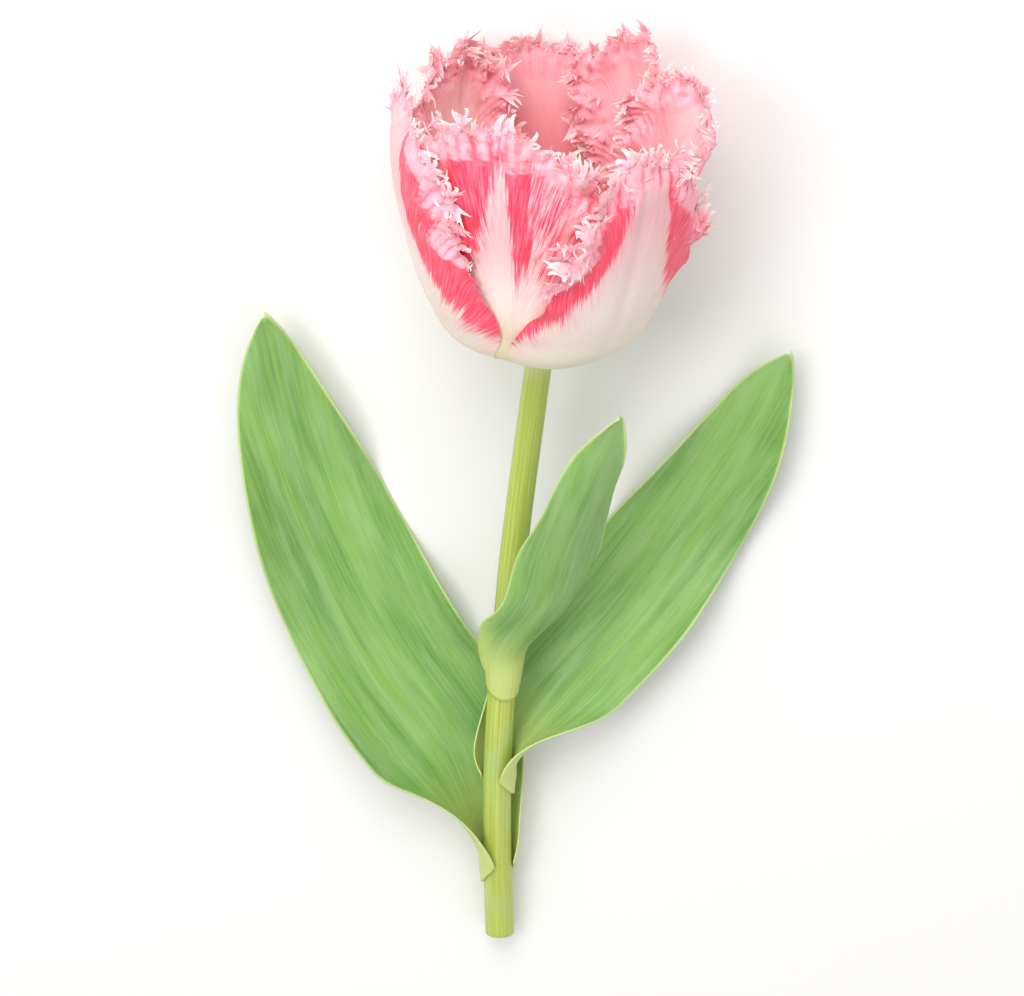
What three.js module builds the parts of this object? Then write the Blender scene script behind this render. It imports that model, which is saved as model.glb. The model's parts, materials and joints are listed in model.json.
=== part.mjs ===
// A cut fringed tulip, lying on a table with the front of its bloom turned up.
// Millimetres. The plant is built as it grows, in a frame of its own: z runs up the axis of the bloom
// from the receptacle at 0, -y is the front of the bloom, and the stem hangs below. The finished plant
// is then laid down: +X runs from the cut end to the bloom, +Z is up from the table.
import * as THREE from "three";

const { degToRad, lerp, smoothstep } = THREE.MathUtils;

// Lying down
const LEAN = degToRad(7.5); // the bloom's axis above the table, with the cut end touching it
const PRESSED = 1.1; // how far the lowest tepal is pressed flat by the table

// Bloom: radius and height of the outer whorl, from the receptacle's wall to the rim
const CUP_PROFILE = [
  [5.9, 0.2],
  [14, 1.8],
  [25, 9],
  [29.5, 17],
  [33, 26],
  [36, 38],
  [38, 48],
  [39.3, 62],
  [36.5, 80],
];
const WHORL_STEP = 2.8; // from the outer whorl to the next one inside it
const TEPAL_THICKNESS = 0.8;
const TEPAL_ROWS = 16;
const TEPAL_COLUMNS = 14;
const GROOVE = 0.5; // depth of the midrib's groove
const FRINGE_FROM = 0.62; // share of a tepal's height below which its margin is smooth
const FRINGE_LENGTH = 4;
const TEETH_PER_ROW = 3;
const TEETH_PER_COLUMN = 3;
const LONG_TEETH = 0.22; // share of the teeth that are long and have a knee
const LONG_TOOTH = 1.9; // how many times as long they are
const SWELL_SPREAD = 0.2; // share of a tepal's height over which a swelling fades away
const RUFFLES_ALONG = 0.55; // radians of a margin's waves for each mm
const RUFFLES_ACROSS = 9; // radians of the upper edge's waves from the middle to a margin

// Each tepal: the azimuth of its midrib (0 is the front, +90 the viewer's right) and how far it turns on
// the way up, the whorl, the reach of its tip along the cup and where across the tepal the tip stands
// (-1 to 1), the reach of its two shoulders, the widest half-widths on its low and high azimuth sides, when
// it widens (a lower power is earlier) and how much it has narrowed again at its shoulders (the angle of a
// sine), how much it swells at some shares of its height (narrows if negative), how far its margins and its
// tip bend inwards (outwards if negative), where across it the tip's bend is, and the height of its ruffles.
const TEPALS = [
  {
    name: "tepal_outer_left",
    azimuth: -83,
    turn: 0,
    whorl: 0,
    tip: 88,
    peak: 0,
    shoulders: [74, 78],
    halfWidths: [23, 36.5],
    widening: 1.2,
    narrowing: 2.4,
    swells: [
      { low: 0, high: 5.5, at: 0.42 },
      { low: 0, high: -6, at: 0.74 },
    ],
    bend: { low: -1.0, high: -1.2, tip: 1.5, at: 0 },
    ruffle: 0.8,
  },
  {
    name: "tepal_outer_right",
    azimuth: 37,
    turn: 0,
    whorl: 0,
    tip: 82,
    peak: 0,
    shoulders: [65, 60],
    halfWidths: [22.5, 27],
    widening: 0.8,
    narrowing: 2.15,
    swells: [
      { low: 6, high: 0, at: 0.42 },
      { low: -4, high: 0, at: 0.86 },
    ],
    bend: { low: -1.5, high: -3.0, tip: -0.5, at: 0 },
    ruffle: 0.9,
  },
  {
    name: "tepal_outer_back",
    azimuth: 173,
    turn: 12,
    whorl: 0,
    tip: 81,
    peak: 0,
    shoulders: [72, 72],
    halfWidths: [22, 21],
    widening: 0.88,
    narrowing: 2.2,
    swells: [],
    bend: { low: 0, high: 0, tip: 1.0, at: 0 },
    ruffle: 0.5,
  },
  {
    name: "tepal_inner_front",
    azimuth: -15,
    turn: 0,
    whorl: 1,
    tip: 91,
    peak: -0.1,
    shoulders: [87, 79],
    halfWidths: [25, 24],
    widening: 1.1,
    narrowing: 1.95,
    swells: [],
    bend: { low: 1.5, high: 1.0, tip: 1.5, at: 0 },
    ruffle: 0.9,
  },
  {
    name: "tepal_inner_left",
    azimuth: -138,
    turn: 0,
    whorl: 1,
    tip: 84,
    peak: 0.1,
    shoulders: [77, 73],
    halfWidths: [14, 22],
    widening: 1.1,
    narrowing: 2.1,
    swells: [],
    bend: { low: 5.0, high: 2.0, tip: 2.0, at: 0 },
    ruffle: 1.2,
  },
  {
    name: "tepal_inner_back",
    azimuth: 140,
    turn: 0,
    whorl: 1,
    tip: 93,
    peak: -0.35,
    shoulders: [72, 80],
    halfWidths: [15.5, 19],
    widening: 1.1,
    narrowing: 1.9,
    swells: [{ low: 0, high: -10, at: 0.62 }],
    bend: { low: -0.6, high: 4.0, tip: 1.0, at: 0 },
    ruffle: 0.8,
  },
  {
    name: "tepal_inner_right",
    azimuth: 98,
    turn: 0,
    whorl: 2,
    tip: 86,
    peak: 0.1,
    shoulders: [72, 79],
    halfWidths: [21, 23],
    widening: 1.1,
    narrowing: 1.9,
    swells: [],
    bend: { low: 0, high: 4.5, tip: -6.0, at: -0.45 },
    ruffle: 1.1,
  },
];

// Receptacle, pistil and stamens
const RECEPTACLE_RADIUS = 5.5;
const RECEPTACLE_TOP = 7;
const PISTIL_RADIUS = 3.2;
const PISTIL_HEIGHT = 27;
const STAMEN_COUNT = 6;
const STAMEN_CIRCLE = 4.7;
const FILAMENT_RADIUS = 0.6;
const FILAMENT_LENGTH = 9;
const ANTHER_RADIUS = 1.3;
const ANTHER_LENGTH = 13;
const STAMEN_LEAN = degToRad(9); // outwards from the pistil
const SEAT_GAP = 0.3; // clearance between pieces that sit on each other

// Stem
const STEM_TOP_RADIUS = 3.5;
const STEM_END_RADIUS = 4.3;
const STEM_SIDES = 12;
const STEM_RINGS = 18;
const STEM_SWAY = -9; // sideways bow of the stem at its lower third
const CUT_SLANT = degToRad(20);

// Leaves: where the sheath clasps the stem, as a distance below the receptacle, the azimuth of its back,
// the points that the midline passes after the sheath (x, y and z in the plant's frame), the widest
// half-width, the radius of the channel across the open blade, and the height of the edge waves.
const LEAF_THICKNESS = 0.9;
const LEAF_ROWS = 22;
const LEAF_COLUMNS = 10;
const SHEATH_LENGTH = 16;
const SHEATH_GAP = 0.55; // clearance to the round stem, more than SEAT_GAP because both have flat facets
const SHEATH_WRAP = degToRad(140); // half of the angle by which a sheath goes round the stem
const SHEATH_RISE = 0.06; // how much higher, as a share of the leaf, its lower edge is at the margins
const WAVES_ALONG_LEAF = 17; // radians of a margin's waves from root to tip
const LEAF_TIP = 0.035; // a leaf's width at its tip, as a share of the widest
const LEAVES = [
  {
    name: "leaf_lower",
    below: 184,
    azimuth: -150,
    route: [
      [-21, 10.8, -142],
      [-40, 15.3, -112],
      [-56, 18.8, -78],
      [-68, 20.5, -40],
      [-74, 17, -4],
    ],
    halfWidth: 25,
    channel: 42,
    wave: 3.2,
    faces: [0.25, -1, 0.1],
  },
  {
    name: "leaf_middle",
    below: 150,
    azimuth: 145,
    route: [
      [5, 10.4, -117],
      [22, 16.4, -96],
      [41, 21.6, -68],
      [56, 22.8, -40],
      [66, 20, -12],
    ],
    halfWidth: 20.5,
    channel: 34,
    wave: 2.8,
    faces: [-0.2, -1, 0.1],
  },
  {
    name: "leaf_upper",
    below: 112,
    azimuth: 25,
    route: [
      [4, -13, -72],
      [9, -22, -46],
      [15, -30, -20],
      [20, -36, 2],
    ],
    halfWidth: 12.5,
    channel: 16,
    wave: 1.5,
    faces: [-0.3, 1, 0.2],
  },
];

// Colours, roughness and metalness of the plain materials
const FINISHES = {
  tepal: { color: 0xf0a0ac, roughness: 0.55, metalness: 0 },
  stem: { color: 0xacb846, roughness: 0.5, metalness: 0 },
  leaf: { color: 0x86ac58, roughness: 0.5, metalness: 0 },
  pistil: { color: 0xcfd68a, roughness: 0.5, metalness: 0 },
  stamen: { color: 0xe2c25a, roughness: 0.8, metalness: 0 },
};

// A seeded source of even random numbers from 0 to 1, so that the fringe is the same every time.
function seededRandom(seed) {
  let state = seed;
  return () => {
    state = (Math.imul(state, 1664525) + 1013904223) >>> 0;
    return state / 4294967296;
  };
}

function finish(kind) {
  return new THREE.MeshStandardMaterial({ ...FINISHES[kind], side: THREE.DoubleSide });
}

function namedMesh(name, geometry, kind) {
  const mesh = new THREE.Mesh(geometry, finish(kind));
  mesh.name = name;
  return mesh;
}

function geometryFrom(vertices, faces) {
  const geometry = new THREE.BufferGeometry();
  const positions = vertices.flatMap((point) => [point.x, point.y, point.z]);
  geometry.setAttribute("position", new THREE.Float32BufferAttribute(positions, 3));
  geometry.setIndex(faces.flat());
  geometry.computeVertexNormals();
  return geometry;
}

// ---- the table, seen from the plant's own frame ----

const TABLE_UP = new THREE.Vector3(0, -Math.cos(LEAN), Math.sin(LEAN));
const cup = new THREE.SplineCurve(CUP_PROFILE.map(([r, h]) => new THREE.Vector2(r, h)));
const cupLength = cup.getLength();
const axisHeight = restingHeight();

// Height of the receptacle's centre above the table, with the lowest tepal pressed on it.
function restingHeight() {
  const drops = cup.getSpacedPoints(200).map((p) => p.x * Math.cos(LEAN) - p.y * Math.sin(LEAN));
  return Math.max(...drops) + TEPAL_THICKNESS / 2 - PRESSED;
}

function heightAboveTable(point) {
  return axisHeight + TABLE_UP.dot(point);
}

// Lifts a point of a blade's middle so that the blade's lower face doesn't pass the table.
function liftedFromTable(point, thickness) {
  const missing = thickness / 2 - heightAboveTable(point);
  return missing > 0 ? point.addScaledVector(TABLE_UP, missing) : point;
}

// ---- blades: thin closed solids on a grid of rows and columns, for tepals and leaves ----

// The surface's unit normal at (u, v), from two small steps along it.
function normalAt(surface, u, v) {
  const step = 0.004;
  const along = surface(Math.min(u + step, 1), v).sub(surface(Math.max(u - step, 0), v));
  const across = surface(u, Math.min(v + step, 1)).sub(surface(u, Math.max(v - step, -1)));
  return across.cross(along).normalize();
}

// Evenly spaced values strictly between two ends.
function between(from, to, parts) {
  return Array.from({ length: parts - 1 }, (_, i) => lerp(from, to, (i + 1) / parts));
}

// A blade's grid as points (u, v), its triangles, and its rim as a closed list of points. The upper part
// of the rim has extra points, so that it can carry narrow teeth.
function bladeGrid(rows, columns, teethPerRow, teethPerColumn, teethFrom) {
  const points = [];
  const keys = new Map();
  const index = (u, v) => {
    const key = `${u.toFixed(6)},${v.toFixed(6)}`;
    if (!keys.has(key)) keys.set(key, points.push([u, v]) - 1);
    return keys.get(key);
  };
  const uAt = (row) => row / rows;
  const vAt = (column) => -1 + (2 * column) / columns;
  const rowParts = (row) => (uAt(row) >= teethFrom ? teethPerRow : 1);
  const up = (row, v) => between(uAt(row), uAt(row + 1), rowParts(row)).map((u) => index(u, v));
  const top = (column) => between(vAt(column), vAt(column + 1), teethPerColumn).map((v) => index(1, v));
  const faces = [];
  for (let row = 0; row < rows; row++) {
    for (let column = 0; column < columns; column++) {
      const [a, b] = [index(uAt(row), vAt(column)), index(uAt(row), vAt(column + 1))];
      const [d, c] = [index(uAt(row + 1), vAt(column)), index(uAt(row + 1), vAt(column + 1))];
      const right = column === columns - 1 ? up(row, 1) : [];
      const above = row === rows - 1 ? top(column).reverse() : [];
      const left = column === 0 ? up(row, -1).reverse() : [];
      const ring = column === 0 ? [b, c, ...above, d, ...left, a] : [a, b, ...right, c, ...above, d];
      for (let i = 1; i < ring.length - 1; i++) faces.push([ring[0], ring[i], ring[i + 1]]);
    }
  }
  const rim = [];
  for (let column = 0; column < columns; column++) rim.push(index(0, vAt(column)));
  for (let row = 0; row < rows; row++) rim.push(index(uAt(row), 1), ...up(row, 1));
  for (let column = columns - 1; column >= 0; column--) {
    rim.push(index(1, vAt(column + 1)), ...top(column).reverse());
  }
  for (let row = rows - 1; row >= 0; row--) rim.push(index(uAt(row + 1), -1), ...up(row, -1).reverse());
  return { points, faces, rim };
}

// Thickens a surface into a closed blade. toothAt gives the tooth that grows from a stretch of the rim,
// as a list of steps { out, side, rise, size } in mm and shares of the rim's own size, or null for none.
function bladeGeometry(surface, grid, thickness, toothAt = () => null) {
  const count = grid.points.length;
  const middles = grid.points.map(([u, v]) => surface(u, v));
  const normals = grid.points.map(([u, v]) => normalAt(surface, u, v));
  const shifted = (by) => middles.map((p, i) => p.clone().addScaledVector(normals[i], by));
  const vertices = [...shifted(thickness / 2), ...shifted(-thickness / 2)];
  const faces = [];
  for (const [a, b, c] of grid.faces) faces.push([a, b, c], [c + count, b + count, a + count]);
  grid.rim.forEach((p, i) => {
    const q = grid.rim[(i + 1) % grid.rim.length];
    const ring = [q, p, p + count, q + count];
    const tooth = toothAt(grid.points[p], grid.points[q]);
    if (tooth) growTooth(vertices, faces, ring, tooth, middles, normals, p, q);
    else faces.push([ring[0], ring[1], ring[2]], [ring[0], ring[2], ring[3]]);
  });
  return geometryFrom(vertices, faces);
}

// Grows a pointed tooth from one stretch of the rim, through the given steps to a single point.
function growTooth(vertices, faces, ring, steps, middles, normals, p, q) {
  const side = middles[q].clone().sub(middles[p]);
  const root = middles[p].clone().add(middles[q]).multiplyScalar(0.5);
  const rise = normals[p].clone().add(normals[q]).normalize();
  const out = side.clone().cross(rise).normalize();
  side.normalize();
  const corners = ring.map((i) => vertices[i].clone().sub(root));
  let from = ring;
  for (const step of steps) {
    const centre = root.clone().addScaledVector(out, step.out);
    centre.addScaledVector(side, step.side).addScaledVector(rise, step.rise);
    if (step.size === 0) {
      const tip = vertices.push(centre) - 1;
      from.forEach((corner, i) => faces.push([corner, from[(i + 1) % 4], tip]));
      return;
    }
    const to = corners.map((c) => vertices.push(centre.clone().addScaledVector(c, step.size)) - 1);
    from.forEach((corner, i) => {
      const next = (i + 1) % 4;
      faces.push([corner, from[next], to[next]], [corner, to[next], to[i]]);
    });
    from = to;
  }
}

// ---- tepals ----

// The middle surface of a tepal. u runs from its root to its upper edge, v from its low to its high
// azimuth margin. The surface follows the cup, one whorl step further in for each whorl.
function tepalSurface(tepal) {
  const rootHalf = tepal.whorl === 0 ? 5 : 3.5;
  return (u, v) => {
    const high = v > 0 ? 1 : 0;
    const wide = tepal.halfWidths[high];
    const shoulder = tepal.shoulders[high];
    const fromPeak = (v - tepal.peak) / (1 - Math.sign(v - tepal.peak) * tepal.peak);
    const arch = Math.pow(Math.cos((fromPeak * Math.PI) / 2), 1.15);
    const reach = Math.min(u * lerp(shoulder, tepal.tip, arch), cupLength);
    const plain = (wide - rootHalf) * Math.sin(tepal.narrowing * Math.pow(u, tepal.widening));
    const half = rootHalf + plain + swellAt(tepal, u, v);
    const p = cup.getPointAt(reach / cupLength);
    const slope = cup.getTangentAt(reach / cupLength);
    const inward = tepal.whorl * WHORL_STEP + bendAt(tepal, u, v) + ruffleAt(tepal, u, v, reach);
    const radius = p.x - slope.y * inward * smoothstep(u, 0, 0.12);
    const height = p.y + slope.x * inward;
    const angle = degToRad(tepal.azimuth + tepal.turn * u) + (v * half) / p.x;
    const point = new THREE.Vector3(radius * Math.sin(angle), -radius * Math.cos(angle), height);
    return liftedFromTable(point, TEPAL_THICKNESS);
  };
}

// How much wider than its plain outline a tepal is at (u, v).
function swellAt(tepal, u, v) {
  const parts = tepal.swells.map(({ low, high, at }) => {
    return (v > 0 ? high : low) * Math.exp(-Math.pow((u - at) / SWELL_SPREAD, 2));
  });
  return parts.reduce((sum, part) => sum + part, 0);
}

// How far a tepal leaves the cup inwards: curled margins, a bent tip and the groove along its midrib.
function bendAt(tepal, u, v) {
  const side = v > 0 ? tepal.bend.high : tepal.bend.low;
  const margin = side * Math.pow(Math.abs(v), 3) * smoothstep(u, 0.3, 1);
  const across = Math.max(0, 1 - Math.pow(v - tepal.bend.at, 2));
  const tip = tepal.bend.tip * smoothstep(u, 0.7, 1) * across * across;
  const groove = GROOVE * Math.exp(-Math.pow(v / 0.09, 2)) * smoothstep(u, 0.15, 0.6);
  return margin + tip + groove;
}

// Waves along the margins and the upper edge.
function ruffleAt(tepal, u, v, reach) {
  const margin = Math.pow(Math.abs(v), 4) * smoothstep(u, 0.35, 0.7);
  const edge = smoothstep(u, 0.8, 1);
  const phase = tepal.azimuth;
  const alongMargin = Math.sin(reach * RUFFLES_ALONG + phase) * margin;
  const alongEdge = Math.sin(v * RUFFLES_ACROSS + phase) * edge;
  return tepal.ruffle * (alongMargin + alongEdge);
}

// The fringe: a pointed tooth on every stretch of the upper rim, some of them long and hooked.
function fringeOf(tepal) {
  const random = seededRandom(1000 + Math.round(tepal.azimuth));
  return (p, q) => {
    const u = (p[0] + q[0]) / 2;
    if (u < FRINGE_FROM) return null;
    const grown = smoothstep(u, FRINGE_FROM - 0.1, 0.8);
    const long = random() < LONG_TEETH ? LONG_TOOTH : 1;
    const length = FRINGE_LENGTH * grown * long * (0.55 + 0.6 * random());
    const side = length * (random() - 0.5) * 0.7;
    const inwards = (p[1] + q[1] > 0 ? tepal.bend.high : tepal.bend.low) > 0 ? 0.35 : 0.05;
    const rise = -length * (inwards + 0.25 * (random() - 0.5));
    const tip = { out: length * 0.9, side: side, rise: rise, size: 0 };
    if (long === 1) return [tip];
    const knee = { out: length * 0.55, side: side * 0.25, rise: rise * 0.2, size: 0.45 };
    return [knee, tip];
  };
}

function makeTepal(tepal, grid) {
  const geometry = bladeGeometry(tepalSurface(tepal), grid, TEPAL_THICKNESS, fringeOf(tepal));
  return namedMesh(tepal.name, geometry, "tepal");
}

function makeTepals() {
  const grid = bladeGrid(TEPAL_ROWS, TEPAL_COLUMNS, TEETH_PER_ROW, TEETH_PER_COLUMN, FRINGE_FROM);
  const tepals = new THREE.Group();
  for (const tepal of TEPALS) tepals.add(makeTepal(tepal, grid));
  return tepals;
}

// ---- pistil and stamens ----

// A lathed solid whose three sides or lobes stand out by a share of its radius, more towards the top.
function makePistil() {
  const r = PISTIL_RADIUS;
  const h = PISTIL_HEIGHT;
  const profile = [
    [0, 0],
    [r * 0.85, 0],
    [r, h * 0.2],
    [r, h * 0.6],
    [r * 0.72, h * 0.82],
    [r * 0.85, h * 0.88],
    [r * 1.55, h * 0.93],
    [r * 1.4, h * 0.97],
    [0, h],
  ];
  const geometry = new THREE.LatheGeometry(profile.map(([x, y]) => new THREE.Vector2(x, y)), 18);
  geometry.rotateX(Math.PI / 2);
  const positions = geometry.attributes.position;
  for (let i = 0; i < positions.count; i++) {
    const [x, y, z] = [positions.getX(i), positions.getY(i), positions.getZ(i)];
    const lobes = 1 + lerp(0.1, 0.3, smoothstep(z, h * 0.8, h * 0.93)) * Math.cos(3 * Math.atan2(y, x));
    positions.setXY(i, x * lobes, y * lobes);
  }
  geometry.computeVertexNormals();
  const pistil = namedMesh("pistil", geometry, "pistil");
  pistil.position.z = RECEPTACLE_TOP + SEAT_GAP;
  return pistil;
}

// A thin filament that widens into a long anther, leaning a little outwards.
function makeStamen(number) {
  const top = FILAMENT_LENGTH + ANTHER_LENGTH;
  const profile = [
    [0, 0],
    [FILAMENT_RADIUS, 0],
    [FILAMENT_RADIUS * 0.7, FILAMENT_LENGTH],
    [ANTHER_RADIUS, FILAMENT_LENGTH + 1.2],
    [ANTHER_RADIUS, top - 2.5],
    [0, top],
  ];
  const geometry = new THREE.LatheGeometry(profile.map(([x, y]) => new THREE.Vector2(x, y)), 8);
  geometry.rotateX(Math.PI / 2);
  const stamen = namedMesh(`stamen_${number}`, geometry, "stamen");
  const place = new THREE.Group();
  place.rotation.z = ((number - 0.5) * 2 * Math.PI) / STAMEN_COUNT;
  stamen.position.set(STAMEN_CIRCLE, 0, RECEPTACLE_TOP + SEAT_GAP);
  stamen.rotation.y = STAMEN_LEAN;
  place.add(stamen);
  return place;
}

// ---- stem ----

const stemLength = (axisHeight - STEM_END_RADIUS * Math.cos(LEAN)) / Math.sin(LEAN);
const stemLine = new THREE.CatmullRomCurve3(
  [0, 0.12, 0.35, 0.7, 1].map((t) => {
    const sway = STEM_SWAY * Math.sin(t * Math.PI * 0.7);
    return new THREE.Vector3(sway, 0, -stemLength * t);
  }),
);

// Where the stem's middle is at a distance below the receptacle.
function stemAt(below) {
  return stemLine.getPoint(curveShareAt(below));
}

// The curve's own parameter for a distance below the receptacle, by halving.
function curveShareAt(below) {
  let [low, high] = [0, 1];
  for (let i = 0; i < 30; i++) {
    const middle = (low + high) / 2;
    if (-stemLine.getPoint(middle).z < below) low = middle;
    else high = middle;
  }
  return (low + high) / 2;
}

function stemRadiusAt(below) {
  return lerp(STEM_TOP_RADIUS, STEM_END_RADIUS, below / stemLength);
}

// One piece: the receptacle, which the tepals surround, and the stem down to its slanted cut.
function makeStem() {
  const rings = [
    { below: -RECEPTACLE_TOP, radius: RECEPTACLE_RADIUS },
    { below: 0.2, radius: RECEPTACLE_RADIUS },
    { below: 2.6, radius: STEM_TOP_RADIUS + 0.5 },
  ];
  for (let i = 0; i <= STEM_RINGS; i++) {
    const below = lerp(7, stemLength, i / STEM_RINGS);
    rings.push({ below: below, radius: stemRadiusAt(below) });
  }
  const vertices = [];
  rings.forEach(({ below, radius }, i) => {
    const centre = below > 0 ? stemAt(below) : new THREE.Vector3(0, 0, -below);
    const slant = i === rings.length - 1 ? Math.tan(CUT_SLANT) : 0;
    for (let side = 0; side < STEM_SIDES; side++) {
      const angle = (2 * Math.PI * side) / STEM_SIDES;
      const [x, y] = [radius * Math.cos(angle), radius * Math.sin(angle)];
      vertices.push(new THREE.Vector3(centre.x + x, centre.y + y, centre.z + slant * (radius - y)));
    }
  });
  return namedMesh("stem", geometryFrom(vertices, tubeFaces(rings.length, STEM_SIDES)), "stem");
}

// The faces of a tube of rings that run downwards, closed at both ends by fans.
function tubeFaces(ringCount, sides) {
  const faces = [];
  for (let ring = 0; ring < ringCount - 1; ring++) {
    for (let side = 0; side < sides; side++) {
      const next = (side + 1) % sides;
      const [a, b] = [ring * sides + side, ring * sides + next];
      faces.push([a, a + sides, b + sides], [a, b + sides, b]);
    }
  }
  const last = (ringCount - 1) * sides;
  for (let side = 1; side < sides - 1; side++) {
    faces.push([0, side, side + 1], [last, last + side + 1, last + side]);
  }
  return faces;
}

// ---- leaves ----

// The middle surface of a leaf: a sheath round the stem that opens into a channelled, wavy blade.
function leafSurface(leaf) {
  const angle = degToRad(leaf.azimuth);
  const outwards = new THREE.Vector3(Math.sin(angle), -Math.cos(angle), 0);
  const seat = stemRadiusAt(leaf.below) + SHEATH_GAP + LEAF_THICKNESS / 2;
  const onStem = (below) => stemAt(below).addScaledVector(outwards, seat);
  const sheath = [0, 0.5, 1].map((t) => onStem(leaf.below - t * SHEATH_LENGTH));
  const route = leaf.route.map((p) => new THREE.Vector3(...p));
  const midline = new THREE.CatmullRomCurve3([...sheath, ...route]);
  const faceThere = new THREE.Vector3(...leaf.faces).normalize();
  const sheathHalf = seat * SHEATH_WRAP;
  return (u, v) => {
    const along = u + SHEATH_RISE * v * v * Math.pow(1 - u, 4);
    const open = smoothstep(along, 0.06, 0.3);
    const curve = lerp(1 / seat, 1 / leaf.channel, Math.sqrt(open));
    const half = lerp(sheathHalf, leaf.halfWidth, open) * leafTaper(along);
    const forward = midline.getTangentAt(along);
    const face = outwards.clone().negate().lerp(faceThere, smoothstep(along, 0.12, 0.5));
    face.addScaledVector(forward, -face.dot(forward)).normalize();
    const aside = forward.clone().cross(face);
    const turn = v * half * curve;
    const waves = Math.sin(along * WAVES_ALONG_LEAF + (v > 0 ? 0 : 2));
    const wave = leaf.wave * open * Math.pow(Math.abs(v), 3) * waves;
    const point = midline.getPointAt(along);
    point.addScaledVector(aside, Math.sin(turn) / curve);
    point.addScaledVector(face, (1 - Math.cos(turn)) / curve + wave);
    return liftedFromTable(point, LEAF_THICKNESS);
  };
}

// Share of the widest half-width along a leaf, down to a narrow tip.
function leafTaper(u) {
  return lerp(LEAF_TIP, 1, Math.pow(Math.cos((Math.PI / 2) * Math.pow(u, 2.1)), 0.8));
}

function makeLeaf(leaf) {
  const grid = bladeGrid(LEAF_ROWS, LEAF_COLUMNS, 1, 1, 1);
  return namedMesh(leaf.name, bladeGeometry(leafSurface(leaf), grid, LEAF_THICKNESS), "leaf");
}

// ---- the whole flower ----

function makePlant() {
  const plant = new THREE.Group();
  plant.add(makeStem(), makeTepals(), makePistil());
  for (let number = 1; number <= STAMEN_COUNT; number++) plant.add(makeStamen(number));
  for (const leaf of LEAVES) plant.add(makeLeaf(leaf));
  return plant;
}

// Turns the growing plant onto its back: its axis to +X, rising by LEAN, and its front to +Z.
function layDown(plant) {
  const axis = new THREE.Vector3(Math.cos(LEAN), 0, Math.sin(LEAN));
  const front = new THREE.Vector3(-Math.sin(LEAN), 0, Math.cos(LEAN));
  const right = new THREE.Vector3(0, -1, 0);
  const turn = new THREE.Matrix4().makeBasis(right, front.negate(), axis);
  plant.quaternion.setFromRotationMatrix(turn);
  plant.position.z = axisHeight;
}

// Puts the origin under the middle of the flower's box, on the table.
function centred(plant) {
  const box = new THREE.Box3().setFromObject(plant, true);
  const middle = box.getCenter(new THREE.Vector3());
  const tulip = new THREE.Group();
  tulip.add(plant);
  tulip.position.set(-middle.x, -middle.y, 0);
  return tulip;
}

const plant = makePlant();
layDown(plant);

export default centred(plant);
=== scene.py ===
import json
import math
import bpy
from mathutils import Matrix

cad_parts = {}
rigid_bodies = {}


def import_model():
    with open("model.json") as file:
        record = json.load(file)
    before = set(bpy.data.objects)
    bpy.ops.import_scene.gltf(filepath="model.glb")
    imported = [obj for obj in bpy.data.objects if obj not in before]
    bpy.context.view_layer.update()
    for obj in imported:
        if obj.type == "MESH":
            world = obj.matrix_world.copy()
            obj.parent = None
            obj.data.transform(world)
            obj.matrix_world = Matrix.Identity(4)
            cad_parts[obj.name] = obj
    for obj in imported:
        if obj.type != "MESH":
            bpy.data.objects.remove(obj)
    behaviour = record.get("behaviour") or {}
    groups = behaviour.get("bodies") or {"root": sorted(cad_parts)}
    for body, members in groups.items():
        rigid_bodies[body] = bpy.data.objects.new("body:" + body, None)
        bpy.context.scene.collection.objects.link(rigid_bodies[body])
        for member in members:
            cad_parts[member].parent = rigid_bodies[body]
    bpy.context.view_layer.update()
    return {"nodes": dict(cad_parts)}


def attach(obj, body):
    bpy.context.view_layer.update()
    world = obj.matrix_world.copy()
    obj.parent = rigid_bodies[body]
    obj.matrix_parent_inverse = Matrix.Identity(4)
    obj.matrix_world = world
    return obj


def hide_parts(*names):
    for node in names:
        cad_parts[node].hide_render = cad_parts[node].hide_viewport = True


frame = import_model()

from types import SimpleNamespace

import bpy
import numpy as np
from mathutils import Matrix, Vector, noise

bl_info = {
    "name": "Fringed Tulip",
    "version": (1, 0, 0),
    "blender": (4, 5, 0),
    "location": "3D View > Sidebar > Tulip",
    "description": "Builds a cut fringed tulip that lies on a pale surface",
    "category": "Add Mesh",
}

# The plant is worked out in millimetres in its own frame, as the solids are: z runs up the axis of the bloom
# from the receptacle at 0, -y is the front of the bloom and x its right. in_row() turns it into the row's
# frame, in metres, where the flower lies with its axis to +X and its front up.
MM = 0.001
LEAN = math.radians(7.5)
AXIS = np.array([math.cos(LEAN), 0, math.sin(LEAN)])
FRONT = np.array([-math.sin(LEAN), 0, math.cos(LEAN)])
RIGHT = np.array([0, -1, 0])
RECEPTACLE_TOP = 7
SEAT_GAP = 0.3

# The cup that the tepals follow: radius and height, from the receptacle's wall to the rim
CUP_PROFILE = [
    (5.9, 0.2), (14, 1.8), (25, 9), (29.5, 17), (33, 26), (36, 38), (38, 48), (39.3, 62), (36.5, 80),
]
WHORL_STEP = 2.8
ROOT_HALF_WIDTHS = (5, 3.5, 3.5)  # by whorl
TEPAL_THICKNESS = 0.8
GROOVE = 0.5
RUFFLES_ALONG = 0.55
RUFFLES_ACROSS = 9
SWELL_SPREAD = 0.2
TEPAL_ROWS = 148
SMOOTH_ROWS = 34  # of these rows, in the smooth lower share of the height
SMOOTH_SHARE = 0.4
TEPAL_COLUMNS = 112

# The folds and tears of a rim, in mm, and the shares of height and half-width where it starts to be torn
PLEAT_WIDTH = 3.3
PLEAT_DEPTH = 0.34
LOBE_DEPTH = 3.1
TEAR_DEPTH = 0.6
ROLL_WIDTH = 4.5
LIGHT_WIDTH = 5.8
APART = 40  # keeps the noise of the two margins apart, and the smooth lower margins away from the rim
TORN_FROM = (0.945, 0.88)

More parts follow.
